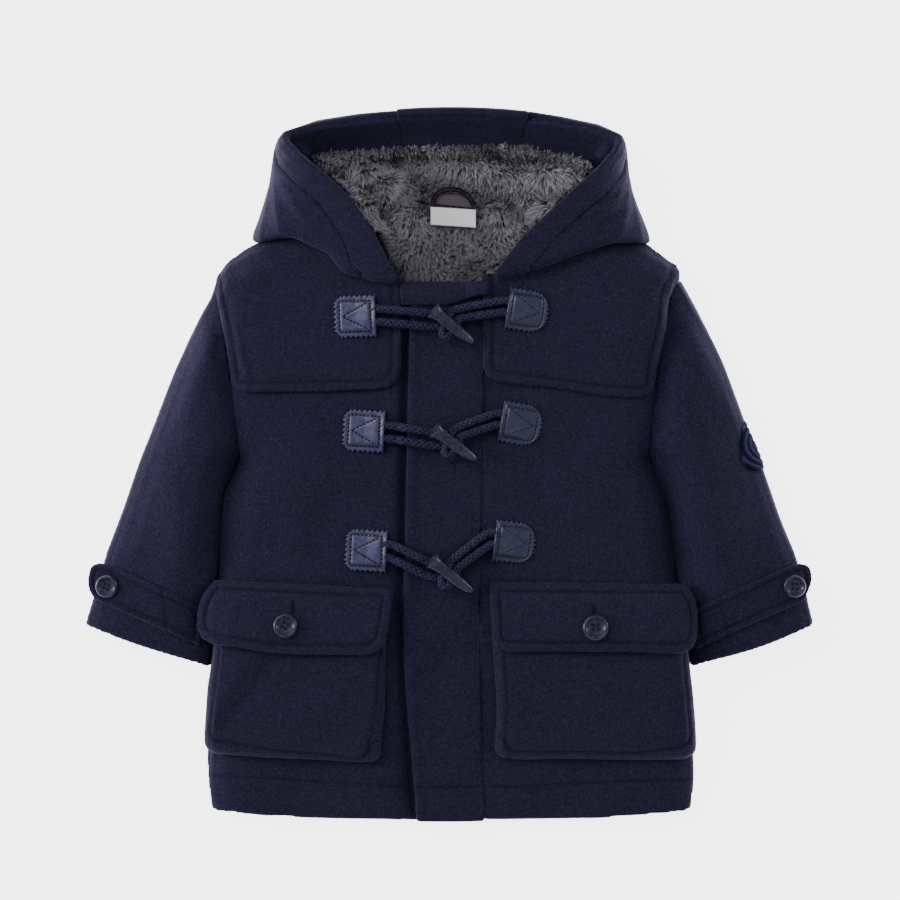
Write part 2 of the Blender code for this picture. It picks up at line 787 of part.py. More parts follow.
def pocket(side):
    shape = POCKET[side]
    top = shape["top"]

    def point(u, v):
        low = shape["bottom"] + (shape["slant"] * u)
        edge_low = low + corner_rise(u * 120.0, 8.0) + corner_rise((1 - u) * 120.0, 8.0)
        y = mix(edge_low, top, v)
        x = mix(pocket_outer(side, y), shape["inner"], u)
        reach = min(u * 120.0, (1 - u) * 120.0, v * (top - edge_low))
        edge = abs(side_edge(side, y))
        x_on = math.copysign(min(abs(x), edge), x)
        x_in = math.copysign(min(abs(x_on), edge - WOOL - 1.0), x)
        base = max(front_height(x_in, y + step) for step in (0.0, 3.5)) + CLEARANCE + 0.2
        face = level_height(x, y) + pocket_stand(y, top)
        return x, y, mix(base, face, round_over(reach / 6.0))

    us = [0, 0.004, 0.016, 0.05, 0.14, 0.3, 0.45, 0.6, 0.75, 0.88, 0.955, 0.984, 0.996, 1]
    vs = [0, 0.005, 0.02, 0.06, 0.2, 0.4, 0.6, 0.8, 1]
    return sheet("pocket_" + side, us, vs, point, WOOL, wool)


def flap_surface(side, x, y, lift):
    """A flap is sewn down at its top and rides over the pocket below it."""
    top = POCKET[side]["top"]
    rise = ease((FLAP_TOP[side][0] + 1.0 - y) / 13.0)
    stand = mix(CLEARANCE, pocket_stand(min(y, top), top) + CLEARANCE + 0.5, rise)
    return lifted(level_height, x, y, stand + lift)


def pocket_flap(side):
    outline = FLAP[side]

    def point(u, v):
        low = mix(*FLAP_BOTTOM[side], math.sin(math.pi * min(u, 0.5)))
        low += corner_rise(u * 128.0, 9.0) + corner_rise((1 - u) * 128.0, 9.0)
        high = mix(*FLAP_TOP[side], u)
        y = mix(low, high, v)
        x = mix(read(outline, "y", "outer", y), read(outline, "y", "inner", y), u)
        return flap_surface(side, x, y, DOUBLE_WOOL)

    return sheet("pocket_flap_" + side, both_dense(11), both_dense(6), point, DOUBLE_WOOL, wool)


# --- Hood -----------------------------------------------------------------------------------

TOP_STEPS = 8
UNDER_STEPS = 5
FLOOR_STEPS = 3


def hood_section(side, station):
    """Points from the mouth rim over the side, round its edge and under to the centre seam."""
    shape = HOOD[side]
    at = max(station, 0.0)
    columns = ("rim_x", "rim_y", "rim_z", "edge_x", "edge_y", "floor_y")
    rim_x, rim_y, rim_z, edge_x, edge_y, floor_y = (
        read(shape, "station", name, at) for name in columns)
    rim = Vector((rim_x, rim_y))
    edge = Vector((edge_x, edge_y))
    seam = Vector((CENTRE_SEAM[side], floor_y))
    span = (edge - rim).length
    roll = min(HOOD_ROLL, span)
    near_lower = max(0.0, 1 - at / 2.5) ** 2
    lap = -min(station, 0.0) / 2.0
    points = []
    for i in range(TOP_STEPS + 1):
        across = math.sin(math.pi / 2 * i / TOP_STEPS)
        plan = rim.lerp(edge, across)
        lower = read(HOOD_LOWER, "x", side, abs(plan.x))
        bow = (lower + LOWER_ROLL - plan.y) * near_lower * ease(across * 6) * ease((1 - across) * 9)
        off_edge = ease((1 - across) * 5)
        plan.y += bow
        top = mix(rim_z, HOOD_SIDE_HEIGHT, across)
        z = HOOD_MID + (top - HOOD_MID) * round_over((1 - across) * span / roll)
        if lap > 0:
            fall = z - min(z - 1.0, front_height(plan.x, lower - 5.0) + HOOD_EDGE_LIFT)
            z -= fall * (1 - math.sqrt(max(1 - lap * lap, 0.0)))
            plan.y -= LOWER_ROLL * lap * mix(0.3, 1.0, off_edge)
        points.append(Vector((plan.x, plan.y, z)))
    outward = (edge - seam).normalized()
    tuck = min(16.0, (edge - seam).length / 2)
    last = points[-1]
    floor_start = edge - outward * tuck + Vector((0, 4.0 - 2.5 * lap))
    for i in range(1, UNDER_STEPS + 1):
        turn = math.pi / 2 * i / UNDER_STEPS
        plan = last.xy.lerp(floor_start, 1 - math.cos(turn))
        points.append(Vector((plan.x, plan.y, last.z * (1 - math.sin(turn)))))
    seam.y -= 2.5 * lap
    for i in range(1, FLOOR_STEPS + 1):
        plan = floor_start.lerp(seam, i / FLOOR_STEPS)
        points.append(Vector((plan.x, plan.y, 0.0)))
    return points


def at_length(points, distance):
    """Point at a distance along a run of points."""
    travelled = 0.0
    for a, b in zip(points, points[1:]):
        piece = (b - a).length
        if travelled + piece >= distance:
            return a.lerp(b, (distance - travelled) / piece)
        travelled += piece
    return points[-1].copy()


def length_of(points):
    return sum((b - a).length for a, b in zip(points, points[1:]))


STATIONS = (-2, -1.2, 0, 1, 2, 3.2, 4.4, 5.6, 6.6, 7.3, 8, 9, 10, 11)


def station_at(v):
    return STATIONS[round(v * (len(STATIONS) - 1))]


def inward_of(side):
    return 1.0 if side == "right" else -1.0


def side_distance(section, u):
    """Distance along a section: the top takes half of u, the roll under a third, the floor the rest."""
    start = BAND_WIDTH + BAND_GAP
    top = max(length_of(section[:TOP_STEPS + 1]), start + 3.0)
    under = max(length_of(section[:TOP_STEPS + UNDER_STEPS + 1]), top + 6.0)
    if u < 0.5:
        return mix(start, top, math.sin(math.pi * u))
    if u < 0.8:
        return mix(top, under, (u - 0.5) / 0.3)
    return mix(under, length_of(section), (u - 0.8) / 0.2)


def hood_side(side):
    def point(u, v):
        section = hood_section(side, station_at(v))
        spot = at_length(section, side_distance(section, u))
        spot.x -= 0.3 * inward_of(side) * ease(u * 20 - 19)
        return spot

    columns = [0, 0.1, 0.2, 0.3, 0.38, 0.44, 0.5, 0.56, 0.62, 0.7, 0.8, 0.9, 1]
    return sheet("hood_side_" + side, columns, even(len(STATIONS) - 1), point, WOOL, wool,
                 probe=(0.2, 0.25))


def hood_band(side):
    def point(u, v):
        return at_length(hood_section(side, station_at(v)), BAND_WIDTH * u)

    return sheet("hood_band_" + side, even(3), even(len(STATIONS) - 1), point, BAND_WOOL, wool,
                 probe=(0.5, 0.25))


def centre_section(across):
    """Last sections of the two sides blended, run on along the table to the neck."""
    first = hood_section("right", 11.0)
    second = hood_section("left", 11.0)
    points = []
    for a, b in zip(first, second):
        blend = a.lerp(b, across)
        blend.y += 1.8 * math.sin(math.pi * across)
        points.append(blend)
    while points[1].z > points[0].z:
        points.pop(0)
    last = points[-1]
    points.append(Vector((last.x, 210.0, 0.0)))
    points.append(Vector((last.x, 183.0, 0.0)))
    return points


def centre_across(u, seam=0.6):
    """Fraction of the centre piece's width that leaves a seam at either side."""
    width = CENTRE_SEAM["left"] - CENTRE_SEAM["right"]
    return mix(seam / width, 1 - seam / width, u)


def hood_centre():
    def point(u, v):
        section = centre_section(centre_across(u))
        return at_length(section, mix(BAND_WIDTH + BAND_GAP, length_of(section), v))

    return sheet("hood_centre", even(6), even(9), point, WOOL, wool, outward=(0, 0, -1),
                 probe=(0.5, 0.9))


def hood_band_centre():
    def point(u, v):
        return at_length(centre_section(centre_across(u)), BAND_WIDTH * v)

    return sheet("hood_band_centre", even(6), even(4), point, BAND_WOOL, wool,
                 outward=(0, 1, 0), probe=(0.5, 0.5))


def mouth_half(side, y):
    """Distance of the mouth rim from the middle, up to the hood's corners."""
    shape = HOOD[side]
    rim = {"y": shape["rim_y"][:8], "x": shape["rim_x"][:8]}
    return abs(read(rim, "y", "x", y))


def hood_reach(side, y):
    """How far the lining runs on beneath the band."""
    shape = HOOD[side]
    edge = {"y": shape["edge_y"][:8], "x": shape["edge_x"][:8]}
    room = abs(read(edge, "y", "x", y)) - mouth_half(side, y) - 21.0
    return min(20.0, max(room, -12.0))


PILE_LUMPS = table(
    "x y width length height",
    (-68, 206, 24, 9, 4.5), (-44, 196, 20, 8, 3.5), (-86, 214, 14, 8, 3.0),
    (-58, 184, 12, 7, 3.0), (40, 205, 26, 8, 3.5), (74, 204, 18, 9, 4.5),
    (92, 214, 12, 8, 3.0), (58, 186, 20, 7, 3.5), (22, 212, 16, 6, 2.0),
    (-16, 214, 18, 6, 2.0), (-28, 160, 12, 12, 2.2), (26, 156, 12, 12, 2.2),
)


def lining_height(x, y):
    side = side_of(x)
    half = mouth_half(side, y)
    reach = hood_reach(side, y)
    climb = mix(13.0, 30.0, ease((y - 152.0) / 46.0)) * max(reach, 0.0) / 20.0
    rise = ease((abs(x) - half + 12.0) / max(12.0 + reach, 4.0))
    lumps = 0.0
    for cx, cy, width, length, height in zip(*PILE_LUMPS.values()):
        lumps += height * math.exp(-((x - cx) / width) ** 2 - ((y - cy) / length) ** 2)
    return LINING_FLOOR + climb * rise + lumps * (1 - rise)


def lining(name, low, high, rows):
    def point(u, v):
        y = mix(low, high, v)
        left = mouth_half("left", y) + hood_reach("left", y)
        right = mouth_half("right", y) + hood_reach("right", y)
        x = mix(-right, left, u)
        return Vector((x, y, lining_height(x, y)))

    def under(u, v):
        spot = point(u, v)
        ground = 0.0
        if spot.y < NECK_SEAM_Y:
            ground = max(back_height(spot.x + i, spot.y + j) for i in (-8, 0, 8) for j in (-3, 0, 3))
        spot.z = max(spot.z - PILE - 4.0, ground + WOOL + CLEARANCE)
        return spot

    return slab(name, even(14), even(rows), point, under, pile)


def facing_outer(side, station):
    """Upper edge of the facing, just inside the band's wall."""
    rim = hood_section(side, station)[0]
    before = hood_section(side, station - 0.2)[0]
    along = (rim - before).xy.normalized()
    inward = Vector((along.y, -along.x)) * inward_of(side)
    spot = rim.xy + inward * (BAND_WOOL + 2.2)
    return Vector((spot.x, spot.y, rim.z - 0.6))


def facing_point(outer, v):
    centre_x = mix(outer.x, 8.0, 0.12)
    inner = Vector((centre_x, outer.y - FACING_WIDTH + BAND_WOOL))
    plan = outer.xy.lerp(inner, v)
    low = max(lining_height(plan.x + i, min(plan.y + j, 222.0)) for i in (-5, 0, 5) for j in (-4, 0))
    low += WOOL + 0.6
    fall = outer.z - (outer.z - 13.5) * math.sin(math.pi / 2 * v)
    return Vector((plan.x, plan.y, max(fall, low)))


def hood_facing(side):
    def point(u, v):
        station = mix(7.6, 10.99, u)
        return facing_point(facing_outer(side, station), v)

    return sheet("hood_facing_" + side, even(8), even(5), point, WOOL - 0.5, wool)


def hood_facing_centre():
    def point(u, v):
        first = facing_outer("right", 11.0)
        second = facing_outer("left", 11.0)
        outer = first.lerp(second, centre_across(u, 0.3))
        outer.y += 1.8 * math.sin(math.pi * u)
        return facing_point(outer, v)

    return sheet("hood_facing_centre", even(6), even(5), point, WOOL - 0.5, wool)


def neck_label():
    corners = {"x": (-15.2, 17.0), "y": (164.6, 180.6)}

    def point(u, v):
        x = mix(*corners["x"], u)
        y = mix(*corners["y"], v) - 2.6 * u
        high = max(lining_height(x + i, y + j) for i in (-4, 0, 4) for j in (-4, 0, 4))
        return x, y, high + CLEARANCE + 0.9

    return sheet("neck_label", even(6), even(4), point, 0.8, label)


def neck_patch():
    """Half-moon that covers the ends of the hang loop, above the label."""
    def point(u, v):
        x = mix(-13.0, 14.0, u)
        y = mix(182.4, 179.6, u) + v * (1.6 + 6.6 * math.sqrt(max(4 * u * (1 - u), 0.0)))
        high = max(lining_height(x + i, y + j) for i in (-4, 0, 4) for j in (-4, 0, 4))
        return x, y, high + CLEARANCE + 0.9

    return sheet("neck_patch", both_dense(8), even(3), point, 0.8, label)


def hang_loop():
    knots = [(-14.5, 183.6), (-10.5, 187.6), (-4.0, 190.6), (3.5, 190.4), (9.5, 187.2), (13.6, 181.6)]
    points = []
    for x, y in knots:
        high = max(lining_height(x + i, y + j) for i in (-2, 0, 2) for j in (-2, 0, 2))
        points.append(Vector((x, y, high + 2 * CLEARANCE + 2.6)))
    path = smooth_path(points, 2)
    return tube("hang_loop", path, [1.6] * len(path), 1, wool)


# --- Fastenings -----------------------------------------------------------------------------

def turned(vector, degrees):
    angle = math.radians(degrees)
    return Vector((vector.x * math.cos(angle) - vector.y * math.sin(angle),
                   vector.x * math.sin(angle) + vector.y * math.cos(angle)))


def patch(name, edge, direction, turn):
    """Square of leather; it swells over the cord ends at its inner edge."""
    def place(u, v):
        local = Vector((PATCH_SIZE * u * direction, PATCH_SIZE * (v - 0.5)))
        spot = Vector(edge) + turned(local, turn)
        return spot.x, spot.y

    def ground(u, v):
        x, y = place(u, v)
        return x, y, cloth_top(x, y) + CLEARANCE

    def top(u, v):
        x, y, z = ground(u, v)
        over_cords = lens((v - 0.12) / 0.76, 2.4)
        return x, y, z + 1.6 + 4.3 * over_cords * (1 - ease(u * 1.5)) - 0.5 * round_corner(u, v)

    return slab(name, even(4), even(5), top, ground, leather)


def round_corner(u, v):
    return ease((abs(v - 0.5) - 0.35) / 0.15) * ease((u - 0.8) / 0.2)


def cord_height(x, y):
    return max(cloth_top(x + i, y) for i in (-6, -3, 0, 3, 6)) + CLEARANCE + CORD / 2


def looped_cord(name, edge, outward, apex, spread, lift, stops):
    """Two strands that leave a patch square to its edge and meet in a bend at the toggle."""
    apex = Vector(apex)
    back = (edge - apex).normalized()
    side = Vector((-back.y, back.x))
    along_edge = Vector((-outward.y, outward.x))
    if along_edge.dot(side) < 0:
        along_edge.negate()
    half = CORD / 2 + 0.35
    run = (edge - apex).length - half

    def knot(plan, rise):
        return Vector((plan.x, plan.y, cord_height(plan.x, plan.y) + rise))

    strands = []
    for sign in (1, -1):
        strand = [knot(edge + along_edge * sign * spread, 0.0),
                  knot(edge + outward * 5.0 + along_edge * sign * (spread - 0.3), lift * 0.15)]
        for t in stops:
            width = mix(spread, half, ease(t * 1.1))
            strand.append(knot(edge - back * run * t + side * sign * width, lift * ease(t * 1.7)))
        strands.append(strand)
    bend = []
    for angle in (55, 0, -55):
        turn = math.radians(angle)
        plan = apex + back * half * (1 - math.cos(turn)) + side * half * math.sin(turn)
        bend.append(knot(plan, lift))
    path = strands[0] + bend + strands[1][::-1]
    return tube(name, path, [CORD / 2] * len(path), 2, wool)


def toggle(name, centre, turn, length):
    """Horn toggle: a cut head, a thick waist and a tapered tip that droops."""
    along = turned(Vector((1.0, 0.0)), turn)
    base = cord_height(centre.x, centre.y) + CORD / 2
    count = len(TOGGLE_RADII)
    points = []
    for i in range(count):
        t = i / (count - 1) - 0.5
        spot = centre + along * length * t
        bend = 2.0 * (0.25 - t * t)
        points.append(Vector((spot.x, spot.y, (base + 5.9 - 3.4 * (t + 0.5) + bend) / TOGGLE_FLAT)))
    return tube(name, points, list(TOGGLE_RADII), 3, horn, flat=TOGGLE_FLAT)


def fastenings():
    for i, row in enumerate(zip(*ROWS.values()), start=1):
        (left_x, left_y, left_turn, right_x, right_y, right_turn,
         toggle_x, toggle_y, toggle_turn, length) = row
        middle = Vector((toggle_x, toggle_y))
        patch("patch_left_%d" % i, (left_x, left_y), 1, left_turn)
        patch("patch_right_%d" % i, (right_x, right_y), -1, right_turn)
        toggle("toggle_%d" % i, middle, toggle_turn, length)
        across = turned(Vector((0.0, 1.0)), toggle_turn)
        flank = middle + across * (TOGGLE_RADII[4] + CORD / 2 + 0.9)
        outward = turned(Vector((-1.0, 0.0)), left_turn)
        looped_cord("loop_left_%d" % i, Vector((left_x, left_y)) + outward * 1.3, outward, flank,
                    5.2, CORD + 0.8, (0.5, 0.82))
        outward = turned(Vector((1.0, 0.0)), right_turn)
        looped_cord("loop_right_%d" % i, Vector((right_x, right_y)) + outward * 1.3, outward,
                    middle + Vector((6.0, 1.0)), 5.6, 0.0, (0.25, 0.5, 0.75, 0.92))


BUTTON_PROFILE = ((0.0, 1.7), (4.6, 1.7), (6.2, 2.5), (7.6, 3.1), (8.6, 2.8), (9.0, 1.8),
                  (8.3, 0.6), (6.4, 0.0), (0.0, 0.0))


def button(name, place, normal, scale):
    """Turned button with four holes."""
    mesh = bpy.data.meshes.new(name)
    profile = bmesh.new()
    ring = [profile.verts.new((x * scale * MM, 0, z * MM)) for x, z in BUTTON_PROFILE]
    for a, b in zip(ring, ring[1:]):
        profile.edges.new((a, b))
    profile.to_mesh(mesh)
    profile.free()
    piece = add_object(name, mesh, horn)
    screw = piece.modifiers.new("turn", "SCREW")
    screw.steps = 12
    screw.render_steps = 12
    screw.use_merge_vertices = True
    screw.merge_threshold = 0.00001
    for i in range(4):
        hole = piece.modifiers.new("hole_%d" % (i + 1), "BOOLEAN")
        hole.operation = "DIFFERENCE"
        hole.object = hole_cutter(name, i, scale)
        hole.object.parent = piece
    piece.location = placed(place)
    piece.rotation_mode = "QUATERNION"
    piece.rotation_quaternion = Vector(normal).to_track_quat("Z", "Y")
    return piece


def hole_cutter(name, i, scale):
    drill = bmesh.new()
    bmesh.ops.create_cone(drill, cap_ends=True, segments=6, radius1=0.95 * MM, radius2=0.95 * MM,
                          depth=12 * MM)
    mesh = bpy.data.meshes.new(name + "_drill")
    drill.to_mesh(mesh)
    drill.free()
    cutter = bpy.data.objects.new("%s_drill_%d" % (name, i + 1), mesh)
    cutters.objects.link(cutter)
    cutter.hide_render = True
    cutter.display_type = "WIRE"
    angle = math.pi / 4 + math.pi / 2 * i
    cutter.location = (2.1 * scale * MM * math.cos(angle), 2.1 * scale * MM * math.sin(angle), 0)
    return cutter


def surface_normal(surface, x, y):
    east = surface(x + 2, y) - surface(x - 2, y)
    north = surface(x, y + 2) - surface(x, y - 2)
    return east.cross(north).normalized()


def buttons():
    spots = {"right": (-116.2, -112.2, 0.96), "left": (100.1, -113.4, 1.02)}
    for side, (x, y, scale) in spots.items():
        def surface(px, py):
            return flap_surface(side, px, py, DOUBLE_WOOL)

        normal = surface_normal(surface, x, y)
        place = surface(x, y) + normal * 0.45
        button("button_flap_" + side, place, normal, scale)
    for side in ("right", "left"):
        def surface(px, py):
            return cuff_strap_point(side, px / 100.0, py, CLEARANCE + STRAP_WOOL)

        normal = surface_normal(surface, 8.5, 0.0)
        if normal.z < 0:
            normal.negate()
        place = surface(8.5, 0.0) + normal * 0.5
        button("button_cuff_" + side, place, normal, 0.92)


for leftover in list(bpy.data.objects):
    bpy.data.objects.remove(leftover)

coat = bpy.data.collections.new("duffle_coat")
cutters = bpy.data.collections.new("cutters")
bpy.context.scene.collection.children.link(coat)
bpy.context.scene.collection.children.link(cutters)

wool = make_material("navy_melton", NAVY, "wool")
pile = make_material("grey_pile", GREY_PILE, "pile")
leather = make_material("navy_leather", LEATHER, "leather")
horn = make_material("navy_horn", PLASTIC, "plastic")
label = make_material("label_satin", LABEL, "label")

back_panel()
placket()
neck_band()
for wearer_side in ("right", "left"):
    front_panel(wearer_side)
    yoke(wearer_side)
    sleeve_panels(wearer_side)
    cuff_strap(wearer_side)
    pocket(wearer_side)
    pocket_flap(wearer_side)
    hood_side(wearer_side)
    hood_band(wearer_side)
    hood_facing(wearer_side)
hood_centre()
hood_band_centre()
hood_facing_centre()
lining("hood_lining", NECK_SEAM_Y + 0.3, 223.0, 7)
lining("back_lining", 106.0, NECK_SEAM_Y - 0.3, 8)
neck_label()
neck_patch()
hang_loop()
sleeve_badge()
fastenings()
buttons()
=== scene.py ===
import json
import math
import bmesh
import bpy
import numpy as np
from mathutils import Matrix, Vector
from mathutils.bvhtree import BVHTree

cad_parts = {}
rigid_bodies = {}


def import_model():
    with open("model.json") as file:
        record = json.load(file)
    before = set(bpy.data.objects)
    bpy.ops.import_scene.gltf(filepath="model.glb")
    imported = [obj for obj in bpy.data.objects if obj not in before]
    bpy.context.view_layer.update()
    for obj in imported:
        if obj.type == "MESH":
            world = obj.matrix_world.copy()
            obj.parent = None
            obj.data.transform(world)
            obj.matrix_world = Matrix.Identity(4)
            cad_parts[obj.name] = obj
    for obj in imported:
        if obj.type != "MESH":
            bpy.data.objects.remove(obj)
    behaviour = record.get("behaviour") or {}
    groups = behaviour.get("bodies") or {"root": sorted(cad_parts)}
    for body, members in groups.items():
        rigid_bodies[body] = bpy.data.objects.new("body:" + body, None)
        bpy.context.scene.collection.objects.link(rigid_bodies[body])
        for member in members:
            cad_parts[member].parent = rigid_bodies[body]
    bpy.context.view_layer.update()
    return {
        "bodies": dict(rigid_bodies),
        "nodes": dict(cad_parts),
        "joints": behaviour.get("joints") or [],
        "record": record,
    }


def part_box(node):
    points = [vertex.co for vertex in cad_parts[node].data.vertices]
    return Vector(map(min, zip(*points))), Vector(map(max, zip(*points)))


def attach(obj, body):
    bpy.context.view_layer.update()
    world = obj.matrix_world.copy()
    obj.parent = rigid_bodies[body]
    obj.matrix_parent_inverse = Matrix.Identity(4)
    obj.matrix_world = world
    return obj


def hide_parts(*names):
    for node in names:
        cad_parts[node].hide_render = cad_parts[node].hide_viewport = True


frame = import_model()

nodes = frame["nodes"]
mm = 0.001
print("frame:", len(nodes), "solids")


def inScene(name, data):
    made = bpy.data.objects.new(name, data)
    bpy.context.scene.collection.objects.link(made)
    return made


# camera and light

view = {"lens": 250, "sensor": 36, "frame": 0.63, "height": 0.022, "centre": (-0.00015, 0.00895)}
studio = {"colour": (0.93, 0.95, 1.0, 1), "strength": 0.42}


def placeCamera():
    data = bpy.data.cameras.new("camera")
    data.lens = view["lens"]
    data.sensor_width = view["sensor"]
    camera = inScene("camera", data)
    distance = view["frame"] * view["lens"] / view["sensor"]
    camera.location = (*view["centre"], distance + view["height"])
    bpy.context.scene.camera = camera


lights = {
    "key": {"at": (-1.5, 1.7, 2.3), "size": (1.2, 1.2), "watts": 36, "colour": (1.0, 0.985, 0.97)},
    "left": {"at": (-2.6, 0.4, 0.75), "size": (0.8, 2.0), "watts": 72, "colour": (0.98, 0.985, 1.0)},
    "right": {"at": (2.6, 0.9, 0.65), "size": (0.7, 1.6), "watts": 28, "colour": (0.98, 0.985, 1.0)},
    "fill": {"at": (1.6, -1.5, 2.6), "size": (2.0, 2.0), "watts": 8, "colour": (0.97, 0.975, 1.0)},
}


def placeLights():
    for name, lamp in lights.items():
        data = bpy.data.lights.new(name, "AREA")
        data.shape = "RECTANGLE"
        data.size, data.size_y = lamp["size"]
        data.energy = lamp["watts"]
        data.color = lamp["colour"]
        light = inScene(name, data)
        light.location = lamp["at"]
        light.rotation_mode = "QUATERNION"
        light.rotation_quaternion = Vector(lamp["at"]).to_track_quat("Z", "Y")
        light.visible_camera = False
    world = bpy.data.worlds.new("studio")
    world.use_nodes = True
    sky = world.node_tree.nodes["Background"]
    sky.inputs["Color"].default_value = studio["colour"]
    sky.inputs["Strength"].default_value = studio["strength"]
    bpy.context.scene.world = world


# finishes

class Amount:  # a shader value that takes part in sums
    def __init__(self, finish, socket):
        self.finish = finish
        self.socket = socket

    def sum(self, operation, other):
        return self.finish.amount("ShaderNodeMath", {"operation": operation}, {0: self, 1: other})

    def __add__(self, other):
        return self.sum("ADD", other)

    def __mul__(self, other):
        return self.sum("MULTIPLY", other)

    def between(self, low, high):
        settings = {"interpolation_type": "SMOOTHSTEP"}
        inputs = {"Value": self, "From Min": low, "From Max": high}
        return self.finish.amount("ShaderNodeMapRange", settings, inputs)

    __radd__ = __add__


class Finish:
    def __init__(self, name, plain):
        self.material = bpy.data.materials.new(name)
        self.material.use_nodes = True
        self.tree = self.material.node_tree
        self.tree.nodes.clear()
        self.shader = self.node("ShaderNodeBsdfPrincipled", {}, plain)
        self.node("ShaderNodeOutputMaterial", {}, {"Surface": self.shader.outputs[0]})
        self.place = self.node("ShaderNodeTexCoord").outputs["Object"]

    def node(self, kind, settings={}, inputs={}):
        made = self.tree.nodes.new(kind)
        for key, value in settings.items():
            setattr(made, key, value)
        for key, value in inputs.items():
            self.feed(made.inputs[key], value)
        return made

    def feed(self, socket, value):
        value = value.socket if isinstance(value, Amount) else value
        if isinstance(value, bpy.types.NodeSocket):
            self.tree.links.new(value, socket)
        else:
            socket.default_value = value

    def amount(self, kind, settings, inputs, output=0):
        return Amount(self, self.node(kind, settings, inputs).outputs[output])

    def noise(self, scale, detail=2.0, roughness=0.5):
        inputs = {"Vector": self.place, "Scale": scale, "Detail": detail, "Roughness": roughness}
        return self.amount("ShaderNodeTexNoise", {}, inputs, "Fac")

    def attribute(self, name):
        return self.amount("ShaderNodeAttribute", {"attribute_name": name}, {}, "Fac")

    def mix(self, factor, first, second, blend="MIX"):
        settings = {"data_type": "RGBA", "blend_type": blend}
        inputs = {0: factor}
        for key, colour in ((6, first), (7, second)):
            inputs[key] = (*colour, 1) if isinstance(colour, tuple) else colour
        return self.node("ShaderNodeMix", settings, inputs).outputs[2]

    def bump(self, height, distance, strength=1.0):
        inputs = {"Height": height, "Distance": distance, "Strength": strength}
        return self.node("ShaderNodeBump", {}, inputs).outputs[0]

    def use(self, **sockets):
        for name, value in sockets.items():
            self.feed(self.shader.inputs[name.replace("_", " ")], value)
        return self.material


tones = {  # deep and light colour of each finish
    "melton": ((0.0072, 0.0062, 0.0188), (0.0142, 0.0125, 0.0375)),
    "pile": ((0.030, 0.028, 0.036), (0.63, 0.61, 0.665)),
    "pileGround": ((0.010, 0.010, 0.013), (0.045, 0.045, 0.052)),
    # one leather in two copies, a lighter lit one and a darker shaded one: painted light and shade for the
    # two rows of patches
    "leather": ((0.027, 0.025, 0.080), (0.053, 0.050, 0.128)),
    "shadedLeather": ((0.0110, 0.0115, 0.045), (0.021, 0.022, 0.070)),
    "horn": ((0.0110, 0.0088, 0.028), (0.029, 0.0235, 0.066)),
    "cord": ((0.013, 0.0110, 0.034), (0.041, 0.035, 0.090)),
    "tape": ((0.003, 0.003, 0.004), (0.008, 0.008, 0.010)),
    "badge": ((0.020, 0.022, 0.058), (0.048, 0.050, 0.112)),
}
# marks: lint flecks on the melton, and the colours of the painted shade in the pile and in the buttons'
# holes
marks = {"lint": (0.056, 0.052, 0.102), "pileShade": (0.10, 0.10, 0.12), "well": (0.0005, 0.0005, 0.001)}


def darker(colour, amount):
    return tuple(amount * c for c in colour)


def makeMelton():
    finish = Finish("navyMelton", {"Roughness": 0.92, "Sheen Weight": 0.07, "Sheen Roughness": 0.45,
                                   "Sheen Tint": (0.62, 0.60, 0.88, 1), "Specular IOR Level": 0.16})
    fleck = finish.noise(780, 3.0, 0.65)
    felt = finish.noise(400, 3.0, 0.6)
    cloud = finish.noise(45, 4.0, 0.6)
    body = finish.mix(felt.between(0.34, 0.68) * 0.75 + cloud * 0.25, *tones["melton"])
    colour = finish.mix(fleck.between(0.40, 0.80) * 0.34, body, marks["lint"])
    # painted shade: the melton is darkened along its sewn grooves and seams
    colour = finish.mix(finish.attribute("groove") * 0.55, colour, darker(tones["melton"][0], 0.45))
    height = fleck * 0.5 + felt * 0.9 + cloud * 0.3
    return finish.use(Base_Color=colour, Normal=finish.bump(height, 0.0003, 0.85))


def makePile():
    finish = Finish("greyPile", {"Roughness": 0.62, "Sheen Weight": 0.1, "Specular IOR Level": 0.25})
    # strands run from a dark root to a light tip: partly the pile's own tone, partly painted shade deep in
    # the pile
    tone = finish.mix(finish.attribute("along").between(0.1, 1.0), *tones["pile"])
    # the shade attribute darkens the strands: random tone mixed with painted shade and painted light
    colour = finish.mix(finish.attribute("shade") * 0.75, tone, marks["pileShade"], "MULTIPLY")
    return finish.use(Base_Color=colour)


def makeLeather(name, deep, light):
    finish = Finish(name, {"Specular IOR Level": 0.5, "Coat Weight": 0.2, "Coat Roughness": 0.35})
    grain = finish.amount("ShaderNodeTexVoronoi", {"feature": "SMOOTH_F1"},
                          {"Vector": finish.place, "Scale": 1100}, "Distance")
    scuff = finish.noise(260, 5.0, 0.65)
    colour = finish.mix(scuff.between(0.35, 0.65), deep, light)
    # painted shade: the leather is darkened in its sewn grooves and along the V
    colour = finish.mix(finish.attribute("groove") * 0.8, colour, darker(deep, 0.22))
    bump = finish.bump(grain * 0.7 + scuff * 0.5, 0.00025, 0.6)
    return finish.use(Base_Color=colour, Roughness=0.36 + scuff * 0.16, Normal=bump)


def makeGrained(name, plain, noise, colours, between=(), bump=()):  # two colours over one noise
    finish = Finish(name, plain)
    grain = finish.noise(*noise)
    colour = finish.mix(grain.between(*between) if between else grain, *colours)
    finish.use(Base_Color=colour)
    if bump:
        finish.use(Normal=finish.bump(grain, *bump))
    return finish, grain, colour


def makeHorn():
    finish, grain, colour = makeGrained("navyHorn", {"Specular IOR Level": 0.42}, (420, 4.0, 0.65),
                                        tones["horn"], (0.35, 0.65), (0.0003, 0.5))
    # painted shade: the buttons' holes are painted near-black
    colour = finish.mix(finish.attribute("well"), colour, marks["well"])
    return finish.use(Base_Color=colour, Roughness=0.2 + grain * 0.2)


